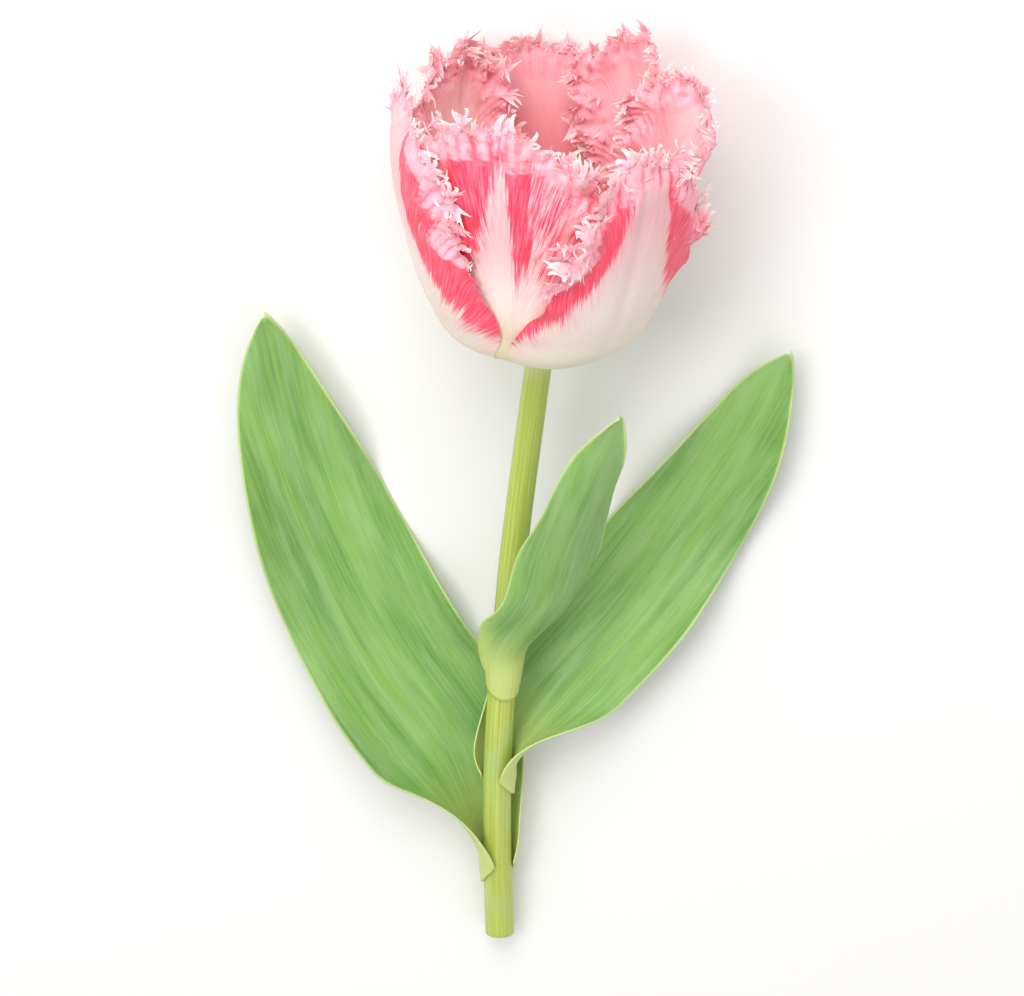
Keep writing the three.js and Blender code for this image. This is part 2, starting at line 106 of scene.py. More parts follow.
# The streaks of a tepal spread like a fan: their half-width in mm at a reach, and how fast they spread
FAN = 34
FAN_REACH = 45
FAN_SPREAD = 32

# The teeth of the fringe, in mm
TOOTH_LENGTH = 4.4
TOOTH_VARIES = 0.38
TOOTH_LIMITS = (0.7, 5.6)
TOOTH_SPACING = (0.55, 1.15)
TOOTH_DEPTH = 0.34  # as a share of its width
FACE_TOOTH = 0.68  # length on a face, as a share of the length on the rim
TOOTH_STRETCH = (0.85, 1.2)
ODD_SHARE = 0.3
FOAM_WIDTH = 4.5
NEAR_TABLE = 0.3  # the height below which teeth are pressed down on the table
PRESSED = 0.05  # what is left of their depth there


def mirrored(side):
    """A flame with two equal sides, from the one at the high margin."""
    return [(-across, *red) for across, *red in side[::-1]] + side


# Each tepal as the solids have it: azimuth and turn, whorl, reach of the tip and where it stands, reach of
# the shoulders, widest half-widths, widening, narrowing, swells (low side, high side, where), bends (low
# margin, high margin, tip, where) and ruffle. Then its look: crumple and roll are how much the rim is creased
# and rolled inwards in mm, fringe is the share of the height where the margins begin to be fringed, foam is
# the number of teeth on the faces near the rim, and long is the length of the teeth. pale is how light the
# rim gets, inside is how deep the pink of the inner face is, warm is how yellow the foot is, groove is how
# strong the painted shade along the midrib is, and flame is (across, height where the red starts, strength
# of the red). Three values of one kind are for the low margin, the upper edge and the high margin. USUAL
# holds for the tepals that say nothing else.
USUAL = dict(
    turn=0, peak=0, widening=1.1, narrowing=1.9, swells=[], fringe=0.5, foam=60, warm=1, groove=0.2,
    flame=mirrored([(0.12, 1.3, 0), (0.2, 0.9, 1), (0.4, 0.6, 1), (1, 0.5, 1)]),
)
TEPALS = {
    "tepal_outer_left": dict(
        azimuth=-83, whorl=0, tip=88, shoulders=(74, 78), halves=(23, 36.5), widening=1.2, narrowing=2.4,
        swells=[(0, 5.5, 0.42), (0, -6, 0.74)], bend=(-1.0, -1.2, 1.5, 0), ruffle=0.8, crumple=1.3,
        roll=(0, 1.0, 2.0), fringe=0.64, long=(0.8, 0.8, 1.2), seed=11,
        pale=(0.7, 1, 1), inside=0.6, warm=0, groove=0.3,
        flame=[(-1, 0.45, 1), (-0.4, 0.5, 1), (-0.25, 0.7, 1), (-0.15, 1.3, 0), (0.3, 1.3, 0),
               (0.37, 0.85, 1), (0.44, 0.62, 1), (0.54, 0.52, 0.95), (0.75, 0.44, 0.8), (1, 0.4, 0.9)],
    ),
    "tepal_outer_right": dict(
        azimuth=37, whorl=0, tip=82, shoulders=(65, 60), halves=(22.5, 27), widening=0.8, narrowing=2.15,
        swells=[(6, 0, 0.42), (-4, 0, 0.86)], bend=(-1.5, -3.0, -0.5, 0), ruffle=0.9, crumple=1.1,
        roll=(-1.0, 0, -1.0), fringe=0.74, foam=40, long=(1.25, 1.45, 0.95), seed=23,
        pale=(1.1, 0.8, 0.4), inside=0.7, warm=0, groove=1,
        flame=[(-1, 0.47, 1), (-0.85, 0.53, 1), (-0.74, 0.58, 1), (-0.6, 0.62, 1), (-0.5, 0.66, 1),
               (-0.41, 0.72, 1), (-0.33, 0.79, 1), (-0.24, 0.88, 1), (-0.15, 0.98, 1), (-0.08, 1.3, 0),
               (0.25, 1.3, 0), (0.33, 0.88, 1), (0.38, 0.75, 1), (0.5, 0.62, 1), (0.8, 0.52, 1),
               (1, 0.47, 1)],
    ),
    "tepal_outer_back": dict(
        azimuth=173, turn=12, whorl=0, tip=81, shoulders=(72, 72), halves=(22, 21), widening=0.88,
        narrowing=2.2, bend=(0, 0, 1.0, 0), ruffle=0.5, crumple=0.5,
        roll=(0, 0, 0), foam=20, long=(0.9, 1.35, 1.1), seed=31, pale=(0.8, 1.0, 0.8), inside=0.88, warm=0,
        flame=mirrored([(0.15, 1.3, 0), (0.25, 0.9, 1), (0.5, 0.6, 1), (1, 0.45, 1)]),
    ),
    "tepal_inner_front": dict(
        azimuth=-15, whorl=1, tip=91, peak=-0.1, shoulders=(87, 79), halves=(25, 24), narrowing=1.95,
        bend=(1.5, 1.0, 1.5, 0), ruffle=0.9, crumple=2.0,
        roll=(0, -2.2, 0), fringe=0.56, foam=190, long=(0.9, 0.85, 0.8), seed=47,
        pale=(0.8, 0.8, 0.8), inside=0.8, groove=0,
        flame=[(-1, 0.58, 1), (-0.5, 0.6, 1), (-0.36, 0.65, 1), (-0.27, 0.73, 1), (-0.2, 0.83, 1),
               (-0.13, 0.92, 1), (-0.02, 0.93, 1), (0.03, 0.8, 1), (0.08, 0.6, 1), (0.13, 0.55, 1),
               (0.21, 0.6, 0.9), (0.27, 0.64, 0.48), (0.5, 0.57, 0.42), (0.8, 0.52, 0.5), (1, 0.5, 0.6)],
    ),
    # inside is low here: the inner face is painted paler, as painted light against the front tepals' shade
    "tepal_inner_left": dict(
        azimuth=-138, whorl=1, tip=84, peak=0.1, shoulders=(77, 73), halves=(14, 22), narrowing=2.1,
        bend=(5.0, 2.0, 2.0, 0), ruffle=1.2, crumple=1.8,
        roll=(1.0, 0.5, 0.5), long=(1, 1.6, 1.5), seed=59, pale=(0.6, 0.9, 0.65), inside=0.12,
    ),
    "tepal_inner_back": dict(
        azimuth=140, whorl=1, tip=93, peak=-0.35, shoulders=(72, 80), halves=(15.5, 19),
        swells=[(0, -10, 0.62)], bend=(-0.6, 4.0, 1.0, 0), ruffle=0.8, crumple=1.2,
        roll=(0.5, 1.0, 1.0), long=(0.9, 0.9, 1.4), seed=67, pale=(0.8, 0.9, 0.75), inside=0.78,
    ),
    "tepal_inner_right": dict(
        azimuth=98, whorl=2, tip=86, peak=0.1, shoulders=(72, 79), halves=(21, 23),
        bend=(0, 4.5, -6.0, -0.45), ruffle=1.1, crumple=2.4,
        roll=(0.5, -1.0, 1.0), foam=150, long=(1.0, 1.0, 1.1), seed=73, pale=(0.9, 0.9, 0.9), inside=0.6,
    ),
}

# Pistil and stamens
PISTIL_RADIUS = 3.2
PISTIL_HEIGHT = 27
STAMEN_COUNT = 6
STAMEN_CIRCLE = 4.7
STAMEN_LEAN = math.radians(9)
STAMEN_STRETCH = (0.96, 1.0)
FILAMENT_LENGTH = 9
ANTHER_LENGTH = 13

# Stem and leaves, as the solids have them
STEM_TOP_RADIUS = 3.5
STEM_END_RADIUS = 4.3
STEM_SWAY = -9
RECEPTACLE_RADIUS = 5.5
CUT_SLANT = math.radians(20)
LEAF_THICKNESS = 0.9
LEAF_ROWS = 120
LEAF_COLUMNS = 48
SHEATH_LENGTH = 16
SHEATH_GAP = 0.55
SHEATH_WRAP = math.radians(140)
SHEATH_RISE = 0.06
WAVES_ALONG_LEAF = 17
LEAF_TIP = 0.035
LEAVES = {
    "leaf_lower": dict(
        below=184, azimuth=-150, half=25, channel=42, wave=3.2, faces=(0.25, -1, 0.1), seed=3,
        route=[(-21, 10.8, -142), (-40, 15.3, -112), (-56, 18.8, -78), (-68, 20.5, -40), (-74, 17, -4)],
    ),
    "leaf_middle": dict(
        below=150, azimuth=145, half=20.5, channel=34, wave=2.8, faces=(-0.2, -1, 0.1), seed=5,
        route=[(5, 10.4, -117), (22, 16.4, -96), (41, 21.6, -68), (56, 22.8, -40), (66, 20, -12)],
    ),
    "leaf_upper": dict(
        below=112, azimuth=25, half=12.5, channel=16, wave=1.5, faces=(-0.3, 1, 0.2), seed=8,
        route=[(4, -13, -72), (9, -22, -46), (15, -30, -20), (20, -36, 2)],
    ),
}

# The stage: each light with its place, size and power, and the camera above the front of the bloom
LIGHTS = {
    "key": ((0.5, 0.85, 1.3), 0.8, 8),
    "fill": ((-0.5, -0.9, 1.1), 1.0, 1.5),
    "front": ((0.8, 0.15, 0.65), 0.6, 6),
}
LIT_SPOT = (0.02, 0, 0.03)
WORLD_LIGHT = 0.75
FLOOR_HALF = 3
CAMERA_TILT = math.radians(27)
CAMERA_ROLL = math.radians(1.6)
CAMERA_DISTANCE = 0.72
CAMERA_OVER = (0, 0, 42)  # place of the plant from which the distance is measured
CAMERA_TARGET = (0.010, 0.0, 0.02)

# Colours that a user doesn't change, as screen values
# Painted shade: grey pink along the midrib, deep pink in the rim's creases, dark salmon deep in the cup
PETAL_SHADES = {
    "inner_pale": (250, 204, 206), "inner_foot": (255, 244, 214), "warm": (234, 214, 168),
    "groove": (214, 196, 200), "blotch_and_crease_shade": (248, 98, 128), "salmon_cup_shade": (236, 112, 118),
    "blush": (236, 177, 180),
}
GREEN_SHADES = {
    "leaf_deep": (92, 142, 58), "leaf_light": (156, 196, 104), "wax": (166, 200, 142),
    "foot": (196, 208, 122), "margin": (206, 220, 150), "stem_light": (192, 204, 104),
    "stem_deep": (132, 158, 62), "cream": (232, 226, 190), "pith": (222, 228, 178), "ovary": (168, 190, 92),
    "stigma": (238, 226, 164), "anther": (214, 178, 84), "filament": (236, 232, 196),
}


# ---- small helpers ----

def smooth(x, low, high):
    """0 below low, 1 above high, and an even slope between."""
    t = np.clip((x - low) / (high - low), 0, 1)
    return t * t * (3 - 2 * t)


def unit(vectors):
    """Vectors of length 1 in the same directions."""
    length = np.linalg.norm(vectors, axis=-1, keepdims=True)
    return vectors / np.maximum(length, 1e-12)


def by_side(v, low, high):
    """The value for the low or the high margin, by the side on which v lies."""
    return np.where(v > 0, high, low)


def lengths_along(line):
    """How far along a line each of its points lies."""
    return np.r_[0, np.cumsum(np.linalg.norm(np.diff(line, axis=0), axis=1))]


def on_line(at, steps, line):
    """Values of a line's columns at lengths along it."""
    return np.stack([np.interp(at, steps, column) for column in line.T], -1)


def linear(*screen):
    """A colour for shader sockets from its red, green and blue on a screen, of 0 to 255."""
    shares = [c / 255 for c in screen]
    return tuple(((c + 0.055) / 1.055) ** 2.4 if c > 0.04 else c / 12.92 for c in shares)


def receptacle_in_row():
    """Where the plant's zero lies in the row's frame: below the flat foot of the pistil's solid."""
    spots = np.round([v.co for v in frame["nodes"]["pistil"].data.vertices], 6)
    spots = np.unique(spots, axis=0)
    heights = spots @ AXIS
    foot = spots[heights < heights.min() + 2e-5].mean(0)
    return foot - AXIS * (RECEPTACLE_TOP + SEAT_GAP) * MM


ORIGIN = receptacle_in_row()
AXIS_HEIGHT = ORIGIN[2] / MM


def turned(vectors):
    """Directions of the plant's frame in the row's frame."""
    v = np.asarray(vectors, float)
    return v[..., 0:1] * RIGHT - v[..., 1:2] * FRONT + v[..., 2:3] * AXIS


def in_row(points):
    """Points of the plant's frame, in mm, in the row's frame, in metres."""
    return ORIGIN + turned(points) * MM


def lifted(points, clearance):
    """Points moved up where they would be nearer to the table than the clearance."""
    up = np.array([0, -math.cos(LEAN), math.sin(LEAN)])
    missing = np.maximum(0, clearance - (AXIS_HEIGHT + points @ up))
    return points + missing[..., None] * up


def wander(across, along, scale, seed):
    """Smooth noise from -1 to 1 at places in mm, with patches about as large as scale."""
    across, along = np.broadcast_arrays(np.asarray(across, float), along)
    shift = Vector((seed * 3.17, seed * 1.61, seed * 2.23))
    places = zip(across.ravel() / scale, along.ravel() / scale)
    return np.array([noise.noise(Vector((a, b, 0)) + shift) for a, b in places]).reshape(across.shape)


def wander_line(values, scale, seed):
    """Smooth noise from -1 to 1 along a line."""
    return wander(values, 0.37 * scale, scale, seed)


def new_mesh(name, points, faces=(), edges=()):
    """A mesh of points, faces and edges, without a material."""
    mesh = bpy.data.meshes.new(name)
    mesh.from_pydata([tuple(p) for p in points], list(edges), list(faces))
    mesh.update()
    return mesh


def write_attributes(mesh, **attributes):
    """Keeps numbers or vectors for the points of a mesh."""
    for name, values in attributes.items():
        values = np.asarray(values, np.float32)
        kind, field = ("FLOAT_VECTOR", "vector") if values.ndim == 2 else ("FLOAT", "value")
        mesh.attributes.new(name, kind, "POINT").data.foreach_set(field, values.ravel())


def crease_edges(mesh, pairs):
    """Lets the given pairs of points be sharp edges in the shading."""
    pairs, ends = np.sort(np.asarray(pairs), axis=1), np.zeros(len(mesh.edges) * 2, int)
    mesh.edges.foreach_get("vertices", ends)
    ends = np.sort(ends.reshape(-1, 2), axis=1)
    count = len(mesh.vertices)
    sharp = np.isin(ends @ (count, 1), pairs @ (count, 1))
    mesh.attributes.new("sharp_edge", "BOOLEAN", "EDGE").data.foreach_set("value", sharp)


def new_object(name, data):
    """An object of the scene for a mesh, a light or a camera."""
    item = bpy.data.objects.new(name, data)
    bpy.context.scene.collection.objects.link(item)
    return item


def new_piece(name, mesh, material):
    """An object of the scene for a finished mesh."""
    mesh.materials.clear()
    mesh.materials.append(material)
    mesh.polygons.foreach_set("use_smooth", [True] * len(mesh.polygons))
    return new_object(name, mesh)


def finish_piece(name, mesh, material, slot, *nodes):
    """Makes a piece that rides on the part in place of its plain solids."""
    if len(mesh.polygons) == 0:
        raise RuntimeError(f"{name} came out empty")
    piece = new_piece(name, mesh, material)
    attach(piece, "root")
    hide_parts(*nodes)


# ---- node trees ----

class Term:
    """An output of a node, to work out the next nodes with."""

    def __init__(self, nodes, socket):
        self.nodes, self.socket = nodes, socket

    def __add__(self, other):
        return self.nodes.math("ADD", self, other)

    def __sub__(self, other):
        return self.nodes.math("SUBTRACT", self, other)

    def __mul__(self, other):
        return self.nodes.math("MULTIPLY", self, other)

    def ramp(self, low, high, start=0.0, end=1.0):
        """Goes from start to end with a soft slope while the term goes from low to high."""
        inputs = {0: self, 1: low, 2: high, 3: start, 4: end}
        return self.nodes.get("ShaderNodeMapRange", inputs, interpolation_type="SMOOTHSTEP")


class Nodes:
    """A node tree under short names."""

    def __init__(self, tree):
        self.tree = tree

    def feed(self, socket, value):
        """Links an input to a term, or sets it to a constant."""
        if isinstance(value, Term):
            self.tree.links.new(value.socket, socket)
        else:
            socket.default_value = value

    def add(self, kind, inputs=None, **settings):
        """Adds a node, with its inputs by name or number."""
        node = self.tree.nodes.new(kind)
        for key, value in settings.items():
            setattr(node, key, value)
        for key, value in (inputs or {}).items():
            self.feed(node.inputs[key], value)
        return node

    def get(self, kind, inputs=None, output=0, **settings):
        """Adds a node and gives one of its outputs, by name or number."""
        return Term(self, self.add(kind, inputs, **settings).outputs[output])

    def get_all(self, kind, inputs=None):
        """Adds a node and gives its outputs in their order."""
        return [Term(self, socket) for socket in self.add(kind, inputs).outputs]

    def math(self, kind, *values):
        return self.get("ShaderNodeMath", dict(enumerate(values)), operation=kind)

    def split(self, vector):
        return self.get_all("ShaderNodeSeparateXYZ", {0: vector})

    def field(self, name, kind="FLOAT_VECTOR"):
        """What the points of the geometry hold under a name."""
        return self.get("GeometryNodeInputNamedAttribute", {"Name": name}, data_type=kind)

    def turn(self, side):
        """Turns instances so that z points along outwards, and their side to the front."""
        inputs = {"Primary Axis": self.field("outwards"), "Secondary Axis": self.field("front")}
        return self.get("FunctionNodeAxesToRotation", inputs, primary_axis="Z", secondary_axis=side)

    def random(self, seed, low, high):
        """A random number for each point."""
        return self.get("FunctionNodeRandomValue", {2: low, 3: high, "Seed": seed}, 1, data_type="FLOAT")

    def finish(self, geometry, material):
        """Ends the tree with real geometry that has its material."""
        real = self.get("GeometryNodeRealizeInstances", {"Geometry": geometry})
        shown = self.get("GeometryNodeSetMaterial", {"Geometry": real, "Material": material})
        self.add("NodeGroupOutput", {"Geometry": shown})
        return self.tree


def node_group(name, kind, inputs, output, output_kind):
    """The nodes of a new group, and its inputs. Each of these is given by its kind or by its default."""
    group = bpy.data.node_groups.new(name, kind)
    for label, value in inputs.items():
        is_kind = isinstance(value, str)
        socket_kind = value if is_kind else {int: "Int", float: "Float"}[type(value)]
        socket = group.interface.new_socket(label, in_out="INPUT", socket_type="NodeSocket" + socket_kind)
        if not is_kind:
            socket.default_value = value
    group.interface.new_socket(output, in_out="OUTPUT", socket_type="NodeSocket" + output_kind)
    nodes = Nodes(group)
    return (nodes, *nodes.get_all("NodeGroupInput")[:len(inputs)])


def geometry_group(name, **inputs):
    """The nodes of a Geometry Nodes tree, the geometry that comes in, and its other inputs."""
    inputs = {"Geometry": "Geometry", **inputs}
    return node_group(name, "GeometryNodeTree", inputs, "Geometry", "Geometry")


def plain_mesh(base, tree, **values):
    """The mesh that a tree makes of an object, with the tree's named inputs."""
    modifier = base.modifiers.new(tree.name, "NODES")
    modifier.node_group = tree
    for item in tree.interface.items_tree:
        if item.in_out == "INPUT" and item.name in values:
            modifier[item.identifier] = values[item.name]
    graph = bpy.context.evaluated_depsgraph_get()
    mesh = bpy.data.meshes.new_from_object(base.evaluated_get(graph))
    bpy.data.objects.remove(base)
    return mesh


# ---- the cup and its tepals ----

def catmull_rom(points, count):
    """A uniform Catmull-Rom curve with its end points repeated, at evenly spaced parameters."""
    p = np.array(points, float)
    t = np.linspace(0, len(p) - 1, count)
    i = np.minimum(t.astype(int), len(p) - 2)
    w = (t - i)[:, None]
    p0, p1, p2, p3 = (p[np.clip(i + k, 0, len(p) - 1)] for k in (-1, 0, 1, 2))
    v0, v1 = (p2 - p0) / 2, (p3 - p1) / 2
    return (2 * p1 - 2 * p2 + v0 + v1) * w**3 + (3 * p2 - 3 * p1 - 2 * v0 - v1) * w**2 + v0 * w + p1


CUP = catmull_rom(CUP_PROFILE, 4001)
CUP_STEPS = lengths_along(CUP)
CUP_SLOPES = unit(np.gradient(CUP, CUP_STEPS, axis=0))
CUP_LENGTH = CUP_STEPS[-1]


def cup_at(reach):
    """Radius, height and slope of the cup after a length along it."""
    return [np.interp(reach, CUP_STEPS, c) for c in (*CUP.T, *CUP_SLOPES.T)]


def tepal_frame(t, u, v):
    """Reach along the cup and half-width of a tepal at u (root to edge) and v (low to high margin)."""
    wide, shoulder = by_side(v, *t.halves), by_side(v, *t.shoulders)
    off = v - t.peak
    arch = np.cos(np.clip(off / (1 - np.sign(off) * t.peak), -1, 1) * math.pi / 2)
    full = shoulder + (t.tip - shoulder) * np.maximum(arch, 0) ** 1.15
    root = ROOT_HALF_WIDTHS[t.whorl]
    half = root + (wide - root) * np.sin(t.narrowing * u ** t.widening)
    for low, high, at in t.swells:
        half = half + by_side(v, low, high) * np.exp(-(((u - at) / SWELL_SPREAD) ** 2))
    return np.minimum(u * full, CUP_LENGTH), half, full


def fringed(t, u, below, above):
    """0 on the smooth lower part of a tepal and 1 on the fringed upper part."""
    return smooth(u, t.fringe - below, t.fringe + above)


def to_margin(t, u, v):
    """Distance in mm to the upper edge and to the nearer side margin."""
    _, half, full = tepal_frame(t, u, v)
    return (1 - u) * full, (1 - np.abs(v)) * half


def rim_nearness(t, u, v, width):
    """1 at the rim, fading to 0 inwards over about width mm, and without the smooth lower margins."""
    top, side = to_margin(t, u, v)
    side = side + APART * (1 - fringed(t, u, 0.12, 0.1))
    return np.exp(-((np.minimum(top, side) / width) ** 2))


def round_rim(t, u, v, values):
    """Blends values given for the low margin, the upper edge and the high margin."""
    top, side = to_margin(t, u, v)
    share = smooth(side - top, -6, 6)
    return values[1] * share + by_side(v, values[0], values[2]) * (1 - share)


def pleat_wave(place, seed):
    """1 in the middle of a pleat and 0 in the crease between two, at places in mm along the rim."""
    phase = place / PLEAT_WIDTH + 1.1 * wander_line(place, 8, seed)
    return np.abs(np.sin(math.pi * phase)) ** 0.7


def torn(place, seed):
    """How far the rim stands out in uneven lobes, one for each pleat, at places in mm along it."""
    lobes = pleat_wave(place, seed) ** 2.5 * (0.9 + 1.3 * wander_line(place, 6, seed + 2))
    small = np.maximum(0, 1 - 4 * np.abs(wander_line(place, 1.9, seed + 1)))
    return LOBE_DEPTH * np.maximum(lobes, 0) + TEAR_DEPTH * small


def pleats(t, u, v):
    """The pleats that run out to the rim: 1 on a crest, and how much they stand out there."""
    reach, half, _ = tepal_frame(t, u, v)
    top, side = to_margin(t, u, v)
    share = smooth(side - top, -5, 5)
    upwards = reach + 0.9 * np.minimum(side, 12) + APART * np.sign(v)
    wave = pleat_wave(upwards, t.seed + 3) * (1 - share) + pleat_wave(v * half, t.seed) * share
    patches = 0.55 + 0.9 * wander(v * half, reach, 11, t.seed + 12)
    return wave, rim_nearness(t, u, v, 8) * np.clip(patches, 0.1, 1) * min(1, t.crumple ** 2)


def inward_offset(t, u, v, reach, half):
    """How far in mm a tepal lies inside the cup, by its whorl, bends, groove, ruffles and creased rim."""
    low, high, tip, at = t.bend
    margin = by_side(v, low, high) * np.abs(v) ** 3 * smooth(u, 0.3, 1)
    tip = tip * smooth(u, 0.7, 1) * np.maximum(0, 1 - (v - at) ** 2) ** 2
    groove = GROOVE * np.exp(-((v / 0.09) ** 2)) * smooth(u, 0.15, 0.6)
    waves = np.sin(reach * RUFFLES_ALONG + t.azimuth) * np.abs(v) ** 4 * smooth(u, 0.35, 0.7)
    waves = waves + np.sin(v * RUFFLES_ACROSS + t.azimuth) * smooth(u, 0.8, 1)
    step = WHORL_STEP * (0.35 + 0.65 * smooth(u, 0.38, 0.62))
    beside = np.exp(-((to_margin(t, u, v)[1] / 6) ** 2)) * (1 - fringed(t, u, 0.1, 0.1))
    pressed = 0.45 * (t.whorl == 0) * beside
    inward = t.whorl * step + pressed + margin + tip + groove + t.ruffle * waves
    inward = inward + round_rim(t, u, v, t.roll) * rim_nearness(t, u, v, ROLL_WIDTH)
    crease = wander(v * half, reach, 6, t.seed + 4) * rim_nearness(t, u, v, 7)
    crease = crease * 0.9 + 0.8 * wander(v * half, reach, 2.4, t.seed + 5) * rim_nearness(t, u, v, 4)
    wave, stand_out = pleats(t, u, v)
    inward = inward + t.crumple * crease - PLEAT_DEPTH * (wave - 0.5) * stand_out
    return inward + 0.25 * wander(v * half, reach, 16, t.seed + 6) * smooth(u, 0.1, 0.5)


def tepal_points(t, u, v):
    """The middle surface of a tepal, whose upper edge and margins are torn."""
    reach, half, _ = tepal_frame(t, u, v)
    pushed = torn(v * half, t.seed) * smooth(u, TORN_FROM[0], 1) ** 1.3 * t.long[1]
    at_side = fringed(t, u, 0.1, 0.1) * smooth(np.abs(v), TORN_FROM[1], 1) ** 1.3
    half = half + torn(reach + APART * np.sign(v), t.seed + 3) * at_side
    reach = np.minimum(reach + pushed, CUP_LENGTH)
    radius, height, slope_r, slope_h = cup_at(reach)
    inward = inward_offset(t, u, v, reach, half)
    r = radius - slope_h * inward * smooth(u, 0, 0.12)
    h = height + slope_r * inward
    angle = np.radians(t.azimuth + t.turn * u) + v * half / radius
    return lifted(np.stack([r * np.sin(angle), -r * np.cos(angle), h], -1), TEPAL_THICKNESS / 2)


def shell(points, thickness):
    """Both faces of a grid of points as one closed thin wall, the grid's outward normals and sharp edges."""
    normals = unit(np.cross(np.gradient(points, axis=1), np.gradient(points, axis=0)))
    rows, columns = points.shape[:2]
    count = rows * columns
    offset = normals * thickness[..., None] / 2
    vertices = np.concatenate([(points + offset).reshape(-1, 3), (points - offset).reshape(-1, 3)])
    number = np.arange(count).reshape(rows, columns)
    a = number[:-1, :-1].ravel()
    quads = np.stack([a, a + 1, a + columns + 1, a + columns], 1)
    rim = np.r_[number[0, :-1], number[:-1, -1], number[-1, :0:-1], number[:0:-1, 0]]
    after = np.roll(rim, -1)
    edge = np.stack([after, rim, rim + count, after + count], 1)
    faces = np.concatenate([quads, quads[:, ::-1] + count, edge])
    sharp = np.concatenate([edge[:, :2], edge[:, 2:]])
    return vertices, faces.tolist(), normals, sharp


def flame_field(t, u, v):
    """How far, in mm, a point is past the border of the red, and how strong the red is. The border is softer
    where it runs lengthwise, so that it breaks into streaks there too."""
    _, half, full = tepal_frame(t, u, v)
    where, start, strength = np.array(t.flame).T
    borders = [np.interp(v + aside, where, start) for aside in (-0.05, -0.025, 0, 0.025, 0.05)]
    slant = (borders[4] - borders[0]) / 0.1 * full / half
    field = (u - sum(borders) / 5) * full / (1 + slant**2) ** 0.17
    return np.clip(field, -30, 30), np.interp(v, where, strength)


def tepal_looks(t, u, v, inner):
    """What the tepal's material reads at each point of its outer face or, where inner is 1, of its inner
    face: where it is on the petal, and how it is tinted there."""
    reach, half, _ = tepal_frame(t, u, v)
    field, strength = flame_field(t, u, v)
    width = LIGHT_WIDTH * (1 + 0.9 * wander(v * half, reach, 7, t.seed + 14))
    pale = round_rim(t, u, v, t.pale) * rim_nearness(t, u, v, width)
    depth = np.full_like(reach, t.inside) if inner else strength
    vein = v * FAN * np.exp((FAN_REACH - reach) / FAN_SPREAD) + t.seed * 50
    petal = np.stack([vein, reach, np.full_like(reach, inner)], -1)
    return petal.reshape(-1, 3), np.stack([field, depth, pale], -1).reshape(-1, 3)


def rim_roots(points, normals, first, draw):
    """Where teeth stand along the rim: grid place, point, direction outwards, face and place on the rim."""
    rows, columns = points.shape[:2]
    rim = [(i, columns - 1) for i in range(first, rows - 1)]
    rim += [(rows - 1, j) for j in range(columns - 1, -1, -1)]
    rim += [(i, 0) for i in range(rows - 2, first - 1, -1)]
    line = np.array([points[i, j] for i, j in rim])
    steps = lengths_along(line)
    # the direction outwards comes from a smoothed rim, with a point at every gap
    gap, around = 0.5, 4
    soft = on_line(np.arange(0, steps[-1], gap), steps, line)
    soft = sum(np.roll(soft, k, axis=0) for k in range(-around, around + 1)) / (2 * around + 1)
    end = 2.5
    place, roots = end, []
    while place < steps[-1] - end:
        k = int(np.searchsorted(steps, place)) - 1
        i, j = rim[k]
        m = int(place / gap)
        forward = soft[min(m + 3, len(soft) - around - 1)] - soft[max(m - 3, around)]
        share = (place - steps[k]) / max(1e-6, steps[k + 1] - steps[k])
        point = line[k] + (line[k + 1] - line[k]) * share
        roots.append((i, j, point, np.cross(forward, normals[i, j]), normals[i, j], place))
        place += draw.uniform(*TOOTH_SPACING)
    return roots


def face_roots(t, u, v, points, normals, draw):
    """Where teeth stand on the faces, mostly close to the rim and where the fringe is light."""
    along, across = np.gradient(points, axis=0), np.gradient(points, axis=1)
    roots = []
    while len(roots) < t.foam:
        a, b = draw.uniform(t.fringe, 1), draw.uniform(-1, 1)
        top, side = to_margin(t, a, b)
        light = t.pale[1] if top < side else by_side(b, t.pale[0], t.pale[2])
        if draw.random() > light * rim_nearness(t, a, b, FOAM_WIDTH):
            continue
        i, j = int(np.argmin(np.abs(u[:, 0] - a))), int(np.argmin(np.abs(v[0] - b)))
        out = unit(along[i, j]) if top < side else unit(across[i, j]) * np.sign(b)
        face = normals[i, j] * draw.choice([-1, 1, 1])
        roots.append((i, j, points[i, j], out * 0.9 + face * draw.uniform(0.15, 0.5), face, a * 60 + b * 40))
    return roots


def make_teeth(t, u, v, roots, rim_count, draw):
    """Places, directions, sizes and kinds of the teeth on the roots, with what their material reads."""
    i, j, places, outs, faces, stations = (np.array(column) for column in zip(*roots))
    u, v, count = u[i, j], v[i, j], len(roots)
    outs, faces = unit(outs), unit(faces)
    sides = unit(np.cross(outs, faces))
    sway = wander_line(stations, 7, t.seed + 7) * 1.3 + draw.normal(0, 0.18, count)
    lean = wander_line(stations, 9, t.seed + 8) * 1.1 + draw.normal(0, 0.22, count)
    outs = unit(outs + sides * sway[:, None] + faces * lean[:, None])
    length = TOOTH_LENGTH * round_rim(t, u, v, t.long) * np.exp(draw.normal(0, TOOTH_VARIES, count))
    length = length * (0.18 + 0.82 * fringed(t, u, 0.08, 0.22))
    share = np.where(np.arange(count) < rim_count, 0.2 + pleats(t, u, v)[0] ** 2, FACE_TOOTH)
    length = np.clip(length * share, *TOOTH_LIMITS)
    bend = wander_line(stations, 5, t.seed + 10) * 2.4 + draw.normal(0, 0.3, count)
    bend = np.clip((bend + 1) / 2 * len(BENDS), 0, len(BENDS) - 1).astype(int)
    names = np.where(draw.random(count) < ODD_SHARE, draw.choice(ODD_TEETH, count), np.array(BENDS)[bend])
    petal, tint = tepal_looks(t, u, v, 0)
    return SimpleNamespace(
        places=places, outwards=outs, front=faces, petal=petal, tint=tint,
        size=np.stack([0.42 + 0.33 * length, 0.4 + 0.14 * length, length], -1),
        kind=np.searchsorted(sorted(TEETH), names),
    )


